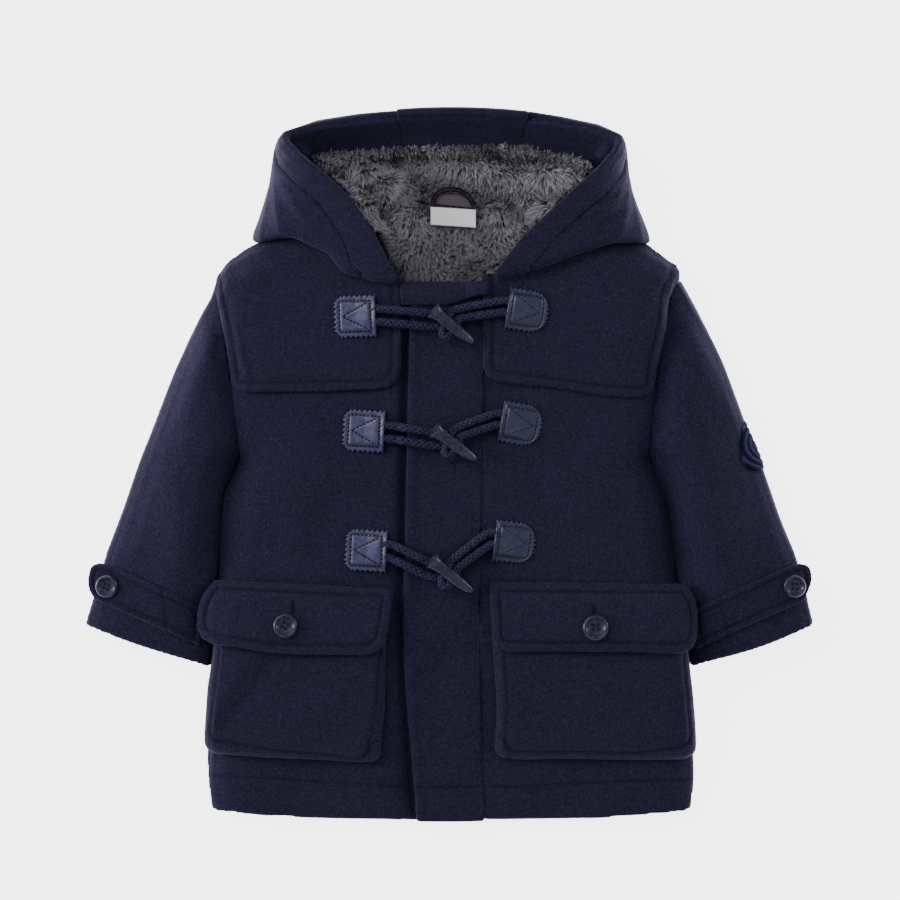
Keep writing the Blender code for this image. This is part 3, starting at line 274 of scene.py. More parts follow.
def makeCord(name, colours):
    plain = {"Roughness": 0.8, "Specular IOR Level": 0.2}
    return makeGrained(name, plain, (1800, 2.0, 0.6), colours, (0.35, 0.7), (0.0002, 0.8))[0].material


def makeThread(name, colour):
    plain = {"Roughness": 0.85, "Specular IOR Level": 0.08}
    return makeGrained(name, plain, (2600, 1.0), (darker(colour, 0.6), colour))[0].material


def makeBadge():  # bright thread on the rings and melton between them
    plain = {"Roughness": 0.95, "Specular IOR Level": 0.02}
    finish, _, thread = makeGrained("badgeThread", plain, (1800, 2.0), tones["badge"], bump=(0.0002,))
    return finish.use(Base_Color=finish.mix(finish.attribute("groove"), thread, tones["melton"][0]))


def makeSatin(name, colour, edge):
    finish = Finish(name, {"Roughness": 0.5, "Specular IOR Level": 0.4, "Sheen Weight": 0.1})
    weave = finish.amount("ShaderNodeTexWave", {"bands_direction": "Y"},
                          {"Vector": finish.place, "Scale": 700, "Distortion": 0.4}, "Fac")
    flat = finish.mix(weave * 0.25, colour, darker(colour, 0.93))
    tinted = finish.mix(finish.attribute("groove"), flat, edge)
    return finish.use(Base_Color=tinted, Normal=finish.bump(weave, 0.00008, 0.5))


def makeFloor():
    finish = Finish("floor", {"Roughness": 0.9, "Specular IOR Level": 0.0, "Emission Strength": 1.0})
    return finish.use(Base_Color=(0.86, 0.86, 0.86, 1), Emission_Color=(4.05, 4.05, 4.05, 1))


# cloth

def addPiece(name, mesh, material, replaced=()):
    piece = inScene(name, mesh)
    mesh.materials.clear()
    mesh.materials.append(material)
    mesh.shade_smooth()
    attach(piece, "root")
    if replaced:
        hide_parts(*replaced)
    return piece


def solidForm(names):  # merged copy of one or more solids
    form = bmesh.new()
    for name in names:
        form.from_mesh(nodes[name].data)
    bmesh.ops.remove_doubles(form, verts=form.verts, dist=0.00001)
    return form


def meshFrom(form, name):
    mesh = bpy.data.meshes.new(name)
    form.to_mesh(mesh)
    form.free()
    return mesh


def asMesh(piece):
    graph = bpy.context.evaluated_depsgraph_get()
    return bpy.data.meshes.new_from_object(piece.evaluated_get(graph))


def shape(piece, **modifiers):  # modifiers by kind, applied in this order
    for kind, settings in modifiers.items():
        modifier = piece.modifiers.new(kind, kind)
        for key, value in settings.items():
            setattr(modifier, key, value)
    mesh = asMesh(piece)
    piece.modifiers.clear()
    piece.data = mesh
    mesh.name = piece.name
    mesh.shade_smooth()


def rowsOf(items, key):
    values = np.empty(len(items) * 3, dtype=np.float32)
    items.foreach_get(key, values)
    return values.reshape(-1, 3).astype(float)


def pointsOf(mesh):
    return rowsOf(mesh.vertices, "co") / mm


def normalsOf(mesh):
    return rowsOf(mesh.vertex_normals, "vector")


def setPoints(mesh, points):
    mesh.vertices.foreach_set("co", (points * mm).astype(np.float32).ravel())
    mesh.update()


def setAttribute(mesh, name, values):
    layer = mesh.attributes.new(name, "FLOAT", "POINT")
    layer.data.foreach_set("value", values.astype(np.float32))


def ease(t):
    t = np.clip(t, 0, 1)
    return t * t * (3 - 2 * t)


def unit(vectors):
    return vectors / np.linalg.norm(vectors, axis=-1, keepdims=True)


def reachOf(line):  # how far along a line each of its points is
    return np.concatenate([[0], np.cumsum(np.linalg.norm(np.diff(line, axis=0), axis=1))])


def spotsOn(line, reach, at):  # the points at some distances along a line
    return np.stack([np.interp(at, reach, column) for column in line.T], axis=1)


def bell(distance, width):
    return np.exp(-(distance / width) ** 2)


def nearest(points, a, b):  # how far along a straight piece of line the closest spot is, and how close
    run = b - a
    t = np.clip((points - a) @ run / max(run @ run, 1e-9), 0, 1)
    return t, np.linalg.norm(points - a - t[:, None] * run, axis=1)


def alongLine(points, line):  # distance to a line of points, seen from above, and how far along it
    line = np.array(line, dtype=float)
    reach = reachOf(line)
    best = np.full(len(points), 1e9)
    along = np.zeros(len(points))
    for a, b, start, end in zip(line, line[1:], reach, reach[1:]):
        t, distance = nearest(points[:, :2], a, b)
        closer = distance < best
        best[closer] = distance[closer]
        along[closer] = (start + t[closer] * (end - start)) / reach[-1]
    return best, along


rimUp, rimTurn = 0.3, 0.75  # least upward part of the face at a rim, and least angle to its wall


def rimOf(form, top, out):  # the outer face's edges below a height in Y whose walls face out less than that
    rim = []
    for edge in form.edges:
        if len(edge.link_faces) != 2:
            continue
        outer, wall = sorted(edge.link_faces, key=lambda f: -f.normal.z)
        if outer.normal.z > rimUp and outer.normal.angle(wall.normal) > rimTurn:
            a, b = (v.co / mm for v in edge.verts)
            if (a.y + b.y) / 2 < top and wall.normal.y < out:
                rim.append((tuple(a), tuple(b), tuple(wall.normal)))
    return rim


def insetLines(rim, inset):  # the rim's edges joined into lines and moved in from it
    spots = {}
    for edge in rim:
        for end in edge[:2]:
            spots.setdefault(tuple(np.round(end, 2)), []).append(edge)
    left = set(rim)
    lines = []
    for spot in sorted(spots, key=lambda k: len(spots[k])):
        path = [spot]
        while True:
            onward = [e for e in spots[path[-1]] if e in left]
            if not onward:
                break
            left.discard(onward[0])
            a, b = (tuple(np.round(end, 2)) for end in onward[0][:2])
            path.append(b if a == path[-1] else a)
        if len(path) < 3:
            continue
        line = []
        for point in path:
            out = sum(unit(np.array(e[2][:2])) for e in spots[point])
            size = max(np.linalg.norm(out), 0.6)
            corner = min(len(spots[point]) / size, 1.4)  # further in where the rim turns
            line.append(np.array(point[:2]) - out / size * inset * corner)
        lines.append(np.array(line))
    return lines


def distanceToRim(points, rim):
    best = np.full(len(points), 1e9)
    for a, b in np.array([edge[:2] for edge in rim]):
        best = np.minimum(best, nearest(points, a, b)[1])
    return best


def waves(points, seed, size, count=14):  # soft uneven swell between -1 and 1
    rng = np.random.default_rng(seed)
    total = np.zeros(len(points))
    for i in range(count):
        heading = rng.uniform(0, 2 * math.pi)
        step = 2 * math.pi / (size * rng.uniform(0.7, 1.6))
        side = np.cos(heading) * points[:, 0] + np.sin(heading) * points[:, 1] + 0.6 * points[:, 2]
        total += np.sin(side * step + rng.uniform(0, 2 * math.pi))
    return total / math.sqrt(count)


wool = {  # what a cloth piece takes where its own settings say nothing else
    "cell": 2.0, "soften": 6, "grow": 0.9, "edge": 1.1, "swell": 0, "wave": 60, "lower": 0, "inset": 5.6,
    "fill": (), "creases": (), "seams": (), "pulls": (),
}
seam = {"width": 1.1, "deep": 0.75, "ridge": 0.35, "ridgeWidth": 2.0, "clear": 0.25, "fade": 0.22}
surfaces = {}
seamLines = {}


def clothForm(name, solids, settings, material):  # the solids as one softened shell
    form = solidForm(solids)
    rim = rimOf(form, *settings["sewn"]) if "sewn" in settings else []
    form.normal_update()
    for vert in form.verts:
        vert.co += vert.normal * settings["grow"] * mm
    for spot, radius in settings["fill"]:
        place = Matrix.Translation(Vector(spot) * mm)
        bmesh.ops.create_icosphere(form, subdivisions=2, radius=radius * mm, matrix=place)
    piece = addPiece(name + "_cloth", meshFrom(form, name), material, solids)
    shape(piece, REMESH={"mode": "VOXEL", "voxel_size": settings["cell"] * mm},
          SMOOTH={"factor": 0.5, "iterations": settings["soften"]})
    return piece, rim


def clothPiece(name, solids, settings, material):
    settings = {**wool, **settings}
    piece, rim = clothForm(name, solids, settings, material)
    points, normals = pointsOf(piece.data), normalsOf(piece.data)
    upper = ease((normals[:, 2] + 0.2) / 0.5)  # 1 where the cloth faces up
    offset = seam["clear"] - settings["grow"] + settings["edge"] * (1 - normals[:, 2] ** 2)
    groove = np.zeros(len(points))
    if settings["swell"]:
        offset += settings["swell"] * upper * waves(points, len(points), settings["wave"])
    lift = np.zeros(len(points))
    for line, width, height, *ends in settings["creases"]:
        distance, along = alongLine(points, line)
        fade = 1.0 if ends else ease(along / seam["fade"]) * ease((1 - along) / seam["fade"])
        lift += height * fade * bell(distance, width)
    if rim:
        away = distanceToRim(points, rim)
        inset = settings["inset"]
        trough = bell(away - inset, seam["width"]) * upper
        ridge = bell(away - inset * 0.5, seam["ridgeWidth"]) * upper
        offset += seam["ridge"] * ridge - seam["deep"] * trough
        groove = np.maximum(groove, trough)
        seamLines[name] = [insetLines(rim, inset), rim, inset]
    for line, depth in settings["seams"]:
        trough = bell(alongLine(points, line)[0], seam["width"]) * upper
        offset -= depth * trough
        groove = np.maximum(groove, trough * min(1.0, depth))
    offset -= settings["lower"] * ease(normals[:, 2] / 0.5)
    if "rings" in settings:
        radii, width, height = settings["rings"]
        out = np.linalg.norm(points - points.mean(axis=0), axis=1)
        ridge = sum(bell(out - radius, width) for radius in radii)
        offset += height * ridge
        groove = 1 - np.clip(ridge, 0, 1)
    moved = points + normals * offset[:, None]
    moved[:, 2] += lift
    for spot, radius, pull in settings["pulls"]:
        near = bell(np.linalg.norm(points[:, :2] - spot, axis=1), radius)
        moved[:, :2] += near[:, None] * np.array(pull)
    if "slide" in settings:
        start, end, far = settings["slide"]
        moved[:, 1] += far * ease((points[:, 1] - start) / (end - start))
    moved[:, 2] = np.maximum(moved[:, 2], 0.0)
    setPoints(piece.data, moved)
    # groove marks the sewn grooves: the melton finish paints shade there, the badge shows its melton
    # between the rings there
    setAttribute(piece.data, "groove", groove)
    surfaces[name] = piece
    if "sheet" in settings:
        width, length, area, under = settings["sheet"]
    return piece


placeCamera()
placeLights()
meltonWool = makeMelton()

# pulls: spot, reach, and how far it moves; creases: line, width, height, and "open" where it runs out

allRound, sewnYoke, sewnPocket = (999, 2), (125, 0.35), (999, 0.5)  # the rims that rimOf finds
hemPulls = [((-168, -222), 30, (-2.4, -0.6)), ((168, -222), 30, (2.0, -0.6)), ((-138, -246), 22, (0, 0.9)),
            ((138, -246), 22, (0, 0.4)), ((0, -248), 70, (0, -0.8))]
shoulderPulls = [((158, 116), 13, (-3.0, 0.3)), ((149, 147), 10, (-1.0, -1.5)), ((160, 133), 7, (2.0, 0.6))]
crownSlide = {"right": (222, 244, -3.0), "left": (222, 244, -2.1)}
sleeveRise = {
    "right": (((-158, 70), (-172, 10), (-186, -55), (-194, -84)), 20, 4.5, "open"),
    "left": (((156, 66), (170, 10), (184, -55), (192, -84)), 20, 4.0, "open"),
}
sleevePulls = {
    "right": [((-215, -125), 32, (-0.6, -1.6)), ((-166, 119), 11, (2.2, 1.8))],
    "left": [((215, -125), 32, (2.0, -2.2)), ((164, 120), 13, (-2.8, 4.8)), ((215, 55), 42, (1.3, 0.6))],
}
front = {"cell": 1.6, "soften": 9, "swell": 0.7, "edge": 1.5}
yoke = {"cell": 1.4, "swell": 0.3, "sewn": sewnYoke}
sleeveTop = {"cell": 1.6, "soften": 9, "swell": 0.4, "edge": 1.8}
sleeveUnder = {"cell": 1.8, "soften": 8, "edge": 1.8}
cuffStrap = {"cell": 1.1, "inset": 3.4, "sewn": allRound}
pocket = {"cell": 1.6, "sewn": sewnPocket}
pocketFlap = {"cell": 1.2, "soften": 5, "swell": 0.3, "sewn": allRound}
hoodSide = {"cell": 1.5, "soften": 9, "swell": 0.4}
cloth = {
    "back_panel": {
        "cell": 2.2, "soften": 8, "edge": 1.5, "pulls": hemPulls + shoulderPulls,
        "sheet": (0.340, 0.430, 0.130, []),
    },
    "front_right": {
        **front, "pulls": hemPulls, "sheet": (0.178, 0.420, 0.0625, ["back_panel"]),
        "seams": [(((-166, -218.6), (-105, -222.8), (-29.6, -227)), 0.7)],
        "creases": [
            (((-30, 112), (-32, -26), (-34, -96), (-32.5, -152), (-29, -194), (-25, -250)),
             3.6, -3.0, "open"),
            (((-145, 12), (-151, -26), (-158, -66), (-162, -92)), 10, -4.5),
            (((-118, 30), (-112, -20), (-116, -66)), 12, 0.8),
            (((-78, -14), (-92, -48), (-96, -76)), 10, -0.8),
        ],
    },
    "front_left": {
        **front, "pulls": hemPulls + shoulderPulls, "sheet": (0.158, 0.418, 0.0535, ["back_panel"]),
        "seams": [(((23, -227), (105, -224.2), (166.5, -221.4)), 0.7)],
        "creases": [
            (((141, 12), (150, -33), (156, -68), (163, -96)), 10, -4.5),
            (((100, 30), (108, -20), (104, -62)), 12, 0.7),
            (((62, 26), (58, -10), (64, -50)), 10, -0.6),
        ],
    },
    "placket": {
        "cell": 1.2, "soften": 5, "swell": 0.3, "edge": 1.4, "pulls": hemPulls,
        "sheet": (0.054, 0.372, 0.0190, ["front_left"]),
        "seams": [(((-28, -226.8), (22, -226.6)), 0.7),
                  (((27, 114), (25.6, -30), (24.2, -110), (23, -226)), 0.5)],
        "creases": [
            (((-25, 112), (-27, -26), (-29, -96), (-27, -152), (-24, -194), (-20, -250)), 3.2, 0.9, "open"),
        ],
    },
    "neck_band": {"cell": 1.2, "sheet": (0.062, 0.017, 0.00102, ["placket"])},
    "yoke_right": {
        **yoke, "sheet": (0.129, 0.116, 0.0119, ["front_right"]),
        "creases": [(((-151, 102), (-147, 78), (-141, 56)), 3, 1.0)],
        "pulls": [((-158, 129), 15, (-2.6, 1.2))],
    },
    "yoke_left": {
        **yoke, "sheet": (0.136, 0.116, 0.0122, ["front_left"]),
        "creases": [(((152, 122), (146, 93), (139, 56)), 3, 1.2)],
        "pulls": [((157, 116), 14, (-4.0, 0.6)), *shoulderPulls[1:]],
    },
    "sleeve_right_top": {
        **sleeveTop, "pulls": sleevePulls["right"], "sheet": (0.094, 0.280, 0.0178, ["sleeve_right_under"]),
        "creases": [
            (((-163, 104), (-171, 80), (-180, 52), (-188, 22)), 9, 1.8), sleeveRise["right"],
            (((-176, 120), (-199, 60), (-222, 0), (-240, -50)), 16, -3.2, "open"),
            (((-149, 14), (-155, -26), (-159, -54), (-162, -84)), 14, -6.5),
            (((-174, 30), (-180, -10), (-186, -52)), 8, -0.9),
            (((-206, 2), (-219, -32), (-228, -62)), 7, -0.6),
        ],
    },
    "sleeve_right_under": {
        **sleeveUnder, "pulls": sleevePulls["right"], "sheet": (0.090, 0.280, 0.0157, []),
    },
    "sleeve_left_top": {
        **sleeveTop, "pulls": sleevePulls["left"], "sheet": (0.102, 0.280, 0.0193, ["sleeve_left_under"]),
        "creases": [
            (((162, 104), (178, 72), (196, 38), (206, 10)), 8, 2.2),
            (((150, 98), (160, 78), (168, 55)), 6, -0.9), sleeveRise["left"],
            (((178, 118), (201, 60), (224, 0), (242, -50)), 15, -3.0, "open"),
            (((145, 14), (151, -26), (156, -58), (162, -88)), 14, -6.5),
            (((172, 10), (177, -22), (184, -54)), 8, -0.8), (((206, 10), (216, -22), (226, -54)), 7, -0.6),
        ],
    },
    "sleeve_left_under": {
        **sleeveUnder, "pulls": sleevePulls["left"], "sheet": (0.097, 0.280, 0.0172, []),
    },
    "cuff_strap_right": {
        **cuffStrap, "creases": [sleeveRise["right"]],
        "sheet": (0.027, 0.096, 0.00245, ["sleeve_right_top"]),
        "pulls": [((-171.6, -106.5), 60, (-2.2, 6.6)), ((-252, -90), 8, (1.6, 0)),
                  ((-245, -69), 9, (0, -1.6))],
        "seams": [(((-199.5, -92), (-196, -123)), 0.5)],
    },
    "cuff_strap_left": {
        **cuffStrap, "creases": [sleeveRise["left"]],
        "sheet": (0.027, 0.096, 0.00248, ["sleeve_left_top"]),
        "pulls": [((171.6, -106.5), 60, (-1.4, 4.4)), ((253, -90), 8, (-3.6, 0)),
                  ((245, -69), 9, (-0.8, -1.6))],
        "seams": [(((189, -92), (195, -123)), 0.5)],
    },
    "pocket_right": {
        **pocket, "swell": 0.6, "sheet": (0.127, 0.120, 0.0144, ["front_right"]),
        "pulls": [((-170, -200), 40, (-5.0, 3.0)), ((-50, -205), 30, (-3.5, -2.0))],
        "creases": [(((-112, -122), (-136, -158), (-163, -201)), 8, -1.6),
                    (((-140, -128), (-156, -160), (-168, -190)), 9, 1.0)],
        "seams": [(((-48.8, -130), (-51, -170), (-54.2, -200.3), (-59.6, -205.2), (-121.7, -201.4),
                    (-159.5, -197.1), (-163.3, -192), (-161.6, -130)), 0.9)],
    },
    "pocket_left": {
        **pocket, "swell": 0.5, "sheet": (0.143, 0.120, 0.0163, ["front_left"]),
        "pulls": [((172, -198), 40, (5.2, 1.0)), ((24, -170), 34, (3.0, 0))],
        "seams": [(((37.1, -131.5), (37.1, -193.6), (39, -198), (43.5, -201.4), (132.1, -203),
                    (157, -199.8), (161.5, -197), (163.4, -192), (162.6, -132.9)), 0.9)],
    },
    "pocket_flap_right": {
        **pocketFlap, "sheet": (0.137, 0.050, 0.0063, ["pocket_right"]),
        "pulls": [((-178, -118), 16, (3.5, 2.0)), ((-150, -128), 22, (0, 2.5))],
    },
    "pocket_flap_left": {
        **pocketFlap, "sheet": (0.150, 0.050, 0.0072, ["pocket_left"]),
        "pulls": [((182, -118), 18, (-5.4, 0)), ((22, -118), 26, (2.0, 0))],
    },
    "hood_side_right": {
        **hoodSide, "slide": crownSlide["right"], "sheet": (0.105, 0.135, 0.0108, ["yoke_right"]),
        "pulls": [((-74, 138), 10, (-1.0, -5.0)), ((-134, 156), 12, (-1.2, -3.2))],
    },
    "hood_side_left": {
        **hoodSide, "slide": crownSlide["left"], "sheet": (0.092, 0.130, 0.0094, ["yoke_left"]),
        "pulls": [((136, 155), 10, (0.3, -2.2))],
    },
    "hood_centre": {"cell": 1.8, "slide": (215, 245, -2.2), "sheet": (0.094, 0.072, 0.0064, [])},
}
for name, settings in cloth.items():
    clothPiece(name, [name], settings, meltonWool)
mouth = {"cell": 1.3, "soften": 10, "grow": 1.5, "edge": 1.0}
hoodMouth = {
    "right": {
        "slide": crownSlide["right"], "pulls": [((-74, 138), 10, (-1.0, -5.0))],
        "fill": [((-113, 226, 33), 5.5), ((-109.5, 222.5, 31), 5.5), ((-106, 219, 28), 5.5),
                 ((-103, 216, 25), 5.0)],
        "sheet": (0.062, 0.145, 0.0071, ["hood_side_right"]),
    },
    "centre": {"slide": (222, 244, -2.0), "sheet": (0.094, 0.060, 0.0049, ["hood_centre"])},
    "left": {
        "slide": crownSlide["left"], "sheet": (0.056, 0.145, 0.0061, ["hood_side_left"]),
        "fill": [((114, 225.5, 34), 5.5), ((112, 221.5, 32), 5.5), ((110, 218, 29), 5.5),
                 ((107, 215, 26), 5.0)],
    },
}
for part, settings in hoodMouth.items():  # band and facing are one piece, turned over at the mouth
    solids = ["hood_band_" + part, "hood_facing_" + part]
    clothPiece("hood_mouth_" + part, solids, {**mouth, **settings}, meltonWool)
print("cloth:", len(surfaces), "pieces")

# pile lining

pile = {
    "count": 38000, "band": 16000, "spare": 1.9, "facing": 0.15, "seed": 11,
    "length": 6.2, "lengths": (0.7, 1.2), "width": 0.48, "widths": (0.7, 1.25), "taper": (1.0, 0.9, 0.65),
    "steps": (0.0, 0.38, 0.72, 1.0), "droop": 0.42, "drift": 0.9, "lean": 1.05, "splay": 0.45,
    "jitter": 0.13, "top": (208, 8), "sink": 1.2, "upright": (0.35, 0.75),
}
tuft = {
    "roots": 17, "sway": 0.9, "wave": 34, "stray": 0.3, "lean": (0.35, 0.8), "size": 5.0, "gather": 0.45,
}
# what makes up the pile's shade attribute: random tone per tuft and strand, painted shade on the top
# fringe, at the hood's back and in the hollows between rolls, painted light at the sides and on the rolls'
# ridges
shading = {
    "clump": 0.35, "strand": 0.65, "top": 0.1, "back": 0.32, "sides": -0.2, "roll": (0.75, 0.4),
    "backAt": (194, 38, 14), "sidesAt": (32, 25),
}
rolls = (  # rolls of pile and the hollows between them: line, width, height
    (((-101, 211.7), (-77.6, 202.3), (-56.7, 199.1), (-37.8, 211.7)), 4.2, -5.0),
    (((-77.6, 200.2), (-54.6, 191.8), (-48.3, 173), (-42, 148), (-36, 128)), 4.2, -5.2),
    (((-37.8, 208.5), (-24, 201), (-13, 194), (-17, 186)), 3.8, -4.4),
    (((-44, 176), (-41, 184), (-28, 189.5), (-17, 186), (-14.5, 176)), 3.6, -4.2),
    (((18.7, 179), (24, 186), (31.3, 188.7), (46, 184.6), (50, 173)), 3.6, -4.2),
    (((25, 223), (33, 212), (42, 208.5), (65, 211.7), (94, 206.5)), 4.0, -4.8),
    (((54.3, 164.6), (62.7, 187.6), (83.6, 196), (100.4, 202.3)), 4.2, -4.8),
    (((0, 160), (4, 148), (6, 131)), 3.5, -1.4),
    (((-92, 203), (-74, 191), (-62, 178), (-54, 162)), 6, 3.6),
    (((-66, 206), (-52, 202), (-40, 194)), 6, 3.6),
    (((-28, 181), (-27, 168)), 8, 3.2),
    (((33, 180), (35, 167)), 8, 3.2),
    (((-10, 212), (10, 208), (22, 205)), 7, 3.0),
    (((58, 203), (76, 203.5), (92, 199)), 5.5, 3.8),
    (((88, 196), (72, 184), (60, 168)), 6, 3.6),
)


def treeOf(*pieces):
    form = bmesh.new()
    for piece in pieces:
        form.from_mesh(piece.data)
    tree = BVHTree.FromBMesh(form)
    form.free()
    return tree


def surfacesOf(*starts):
    return [piece for name, piece in surfaces.items() if name.startswith(starts)]


hoodCovers = surfacesOf("hood", "neck", "front", "placket", "yoke")
covers = treeOf(*hoodCovers)
above = 0.2  # metres, higher than the coat


def pileRoots(mesh, rng):  # evenly spread spots on the upper face that nothing covers closely
    mesh.calc_loop_triangles()
    corners = np.array([t.vertices[:] for t in mesh.loop_triangles])
    points = pointsOf(mesh)
    a, b, c = (points[corners[:, i]] for i in range(3))
    cross = np.cross(b - a, c - a)
    areas = np.linalg.norm(cross, axis=1) / 2
    flat = cross / np.maximum(2 * areas, 1e-9)[:, None]
    weight = areas * (flat[:, 2] > pile["facing"])
    chosen = rng.choice(len(areas), size=int(pile["count"] * pile["spare"]), p=weight / weight.sum())
    u, v = rng.random((2, len(chosen)))
    flip = u + v > 1
    u[flip], v[flip] = 1 - u[flip], 1 - v[flip]
    spots = a[chosen] + u[:, None] * (b - a)[chosen] + v[:, None] * (c - a)[chosen]
    free = [i for i, spot in enumerate(spots)
            if covers.ray_cast(Vector(spot * mm), Vector((0, 0, 1)), 0.05)[0] is None]
    free = np.array(free[:pile["count"]])
    return spots[free], flat[chosen][free]


edgeBand = (
    (-99.5, 214), (-84, 216.5), (-56.7, 218), (-35.7, 220.5), (-12.7, 221), (20.8, 221.2), (29, 223),
    (41.7, 221.6), (58.5, 221.2), (73.1, 215.8), (96, 212.6), (100, 210.5), (96.5, 206), (92, 200.5),
    (83.6, 199.5), (62.7, 203), (48, 205), (31.3, 206.5), (-0.2, 209.8), (-42, 209), (-69.3, 206),
    (-82, 203), (-88.5, 205.5), (-94.5, 210),
)


def bandRoots(tree, rng):  # pile that laps over the lower edge of the facing
    corners = np.array(edgeBand, dtype=float)
    spots = rng.uniform(corners.min(axis=0), corners.max(axis=0), (pile["band"] * 5, 2))
    inside = np.zeros(len(spots), dtype=bool)
    for a, b in zip(corners, np.roll(corners, -1, axis=0)):
        spans = (a[1] > spots[:, 1]) != (b[1] > spots[:, 1])
        inside ^= spans & (spots[:, 0] < (b[0] - a[0]) * (spots[:, 1] - a[1]) / (b[1] - a[1] + 1e-9) + a[0])
    roots, normals = [], []
    for x, y in spots[inside][:pile["band"]]:
        hit, normal = tree.ray_cast(Vector((x * mm, y * mm, above)), Vector((0, 0, -1)))[:2]
        if hit:
            roots.append(np.array(hit) / mm - [0, 0, pile["sink"]])
            normals.append(unit(np.array(normal) * pile["upright"][0] + [0, 0, pile["upright"][1]]))
    return np.array(roots), np.array(normals)


def tuftsOf(roots, rng):  # centres of the tufts, each root's own tuft, and which way the tufts lie
    centres = roots[rng.choice(len(roots), size=int(len(roots) / tuft["roots"]), replace=False)]
    owner = np.zeros(len(roots), dtype=int)
    for start in range(0, len(roots), 2000):
        gaps = roots[start:start + 2000, None, :2] - centres[None, :, :2]
        owner[start:start + 2000] = np.argmin((gaps ** 2).sum(2), axis=1)
    sway = tuft["sway"] * waves(centres, 5, tuft["wave"]) + rng.normal(0, tuft["stray"], len(centres))
    lean = rng.uniform(*tuft["lean"], len(centres))
    flow = np.stack([np.sin(sway) * lean, -np.cos(sway) * lean, np.zeros(len(centres))], axis=1)
    return centres, owner, flow


def strandPaths(roots, normals, length, tipFlow):
    paths = []
    for t in pile["steps"]:
        rise = normals * (length * (t - pile["droop"] * t * t))[:, None]
        paths.append(roots + rise + tipFlow * (length * pile["drift"] * t ** 1.5)[:, None])
    return paths


def pileStrands(name, roots, normals):
    rng = np.random.default_rng(pile["seed"])
    count = len(roots)
    centres, owner, flow = tuftsOf(roots, rng)
    top = ease((roots[:, 1] - pile["top"][0]) / pile["top"][1])
    fringe = np.stack([np.zeros(count), rng.uniform(-0.5, 0.55, count), np.full(count, 0.2)], axis=1)
    flow = flow[owner] * (1 - top[:, None]) + top[:, None] * (fringe + flow[owner] * [0.6, 0, 0])
    roll = np.zeros(count)
    for line, width, height in rolls:
        roll += height / 5 * bell(alongLine(roots, line)[0], width)
    length = pile["length"] * rng.uniform(*pile["lengths"], count)
    length *= 1 + 0.4 * np.clip(roll, 0.7 * top - 1, 0.8)
    gather = (centres[owner] - roots) * [1, 1, 0]
    tipFlow = flow * pile["lean"] + gather / tuft["size"] * tuft["gather"]
    tipFlow[:, :2] += normals[:, :2] * pile["splay"]
    tipFlow += rng.normal(0, pile["jitter"], (count, 3))
    paths = strandPaths(roots, normals, length, tipFlow)
    side = unit(np.cross(paths[3] - paths[0], rng.normal(0, 1, (count, 3))))
    side *= (pile["width"] * rng.uniform(*pile["widths"], count) / 2)[:, None]
    rows = [path + side * width * way for path, width in zip(paths, pile["taper"]) for way in (-1, 1)]
    points = np.stack(rows + [paths[3]], axis=1).reshape(-1, 3)
    first = np.arange(count) * 7
    quads = [np.stack([first + i for i in spots], axis=1) for spots in ((0, 1, 3, 2), (2, 3, 5, 4))]
    tips = np.stack([first + 4, first + 5, first + 6], axis=1)
    mesh = bpy.data.meshes.new(name)
    faces = np.concatenate(quads).tolist() + tips.tolist()
    mesh.from_pydata((points * mm).tolist(), [], faces)
    setAttribute(mesh, "along", np.tile(np.repeat(pile["steps"], (2, 2, 2, 1)), count))
    clumps = rng.uniform(0, 1, len(centres))
    backAt, wide, high = shading["backAt"]  # least light reaches the hood's back
    cast = {
        "clump": clumps[owner], "strand": rng.random(count), "top": top,
        "back": np.exp(-(roots[:, 0] / wide) ** 2 - ((roots[:, 1] - backAt) / high) ** 2),
        "sides": ease((np.abs(roots[:, 0]) - shading["sidesAt"][0]) / shading["sidesAt"][1]),
    }
    shade = sum(shading[k] * amount for k, amount in cast.items())
    # painted shade in the hollows between rolls, painted light on their ridges
    deep, raised = shading["roll"]
    shade = np.clip(shade - deep * roll * np.where(roll < 0, 1, raised), 0, 1)
    setAttribute(mesh, "shade", np.repeat(shade, 7))
    return addPiece(name, mesh, pileFinish)


pileFinish = makePile()
groundFinish = makeGrained("pileGround", {"Roughness": 0.95, "Specular IOR Level": 0.1}, (420, 3.0, 0.7),
                           tones["pileGround"], bump=(0.0012,))[0].material
ground = {"cell": 1.8, "soften": 5, "grow": 0.25, "lower": 3.6, "edge": 0, "creases": rolls}
linings = {"hood_lining": (0.210, 0.062, 0.0105, []), "back_lining": (0.183, 0.085, 0.0118, ["back_panel"])}
for name, sheet in linings.items():
    lining = clothPiece(name, [name], {**ground, "sheet": sheet}, groundFinish)
    rng = np.random.default_rng(pile["seed"])
    pileStrands(name + "_pile", *pileRoots(lining.data, rng))
pileStrands("hood_edge_pile", *bandRoots(treeOf(*hoodCovers, surfaces["hood_lining"]), rng))
print("pile done")

# trims: shared helpers

clothTree = treeOf(*surfacesOf("front", "placket", "neck", "yoke", "pocket", "cuff", "sleeve"))


def heightOn(tree, x, y, fallback=0.0):
    hit = tree.ray_cast(Vector((x * mm, y * mm, above)), Vector((0, 0, -1)))[0]
    return hit.z / mm if hit else fallback


def setDown(tree, spots, fallback=0.0, lift=0.0):  # spots in the plan as points on a surface
    return [np.array([*spot, heightOn(tree, *spot, fallback) + lift]) for spot in spots]


def turned(vector, degrees):
    angle = math.radians(degrees)
    x, y = vector
    return np.array([x * math.cos(angle) - y * math.sin(angle), x * math.sin(angle) + y * math.cos(angle)])


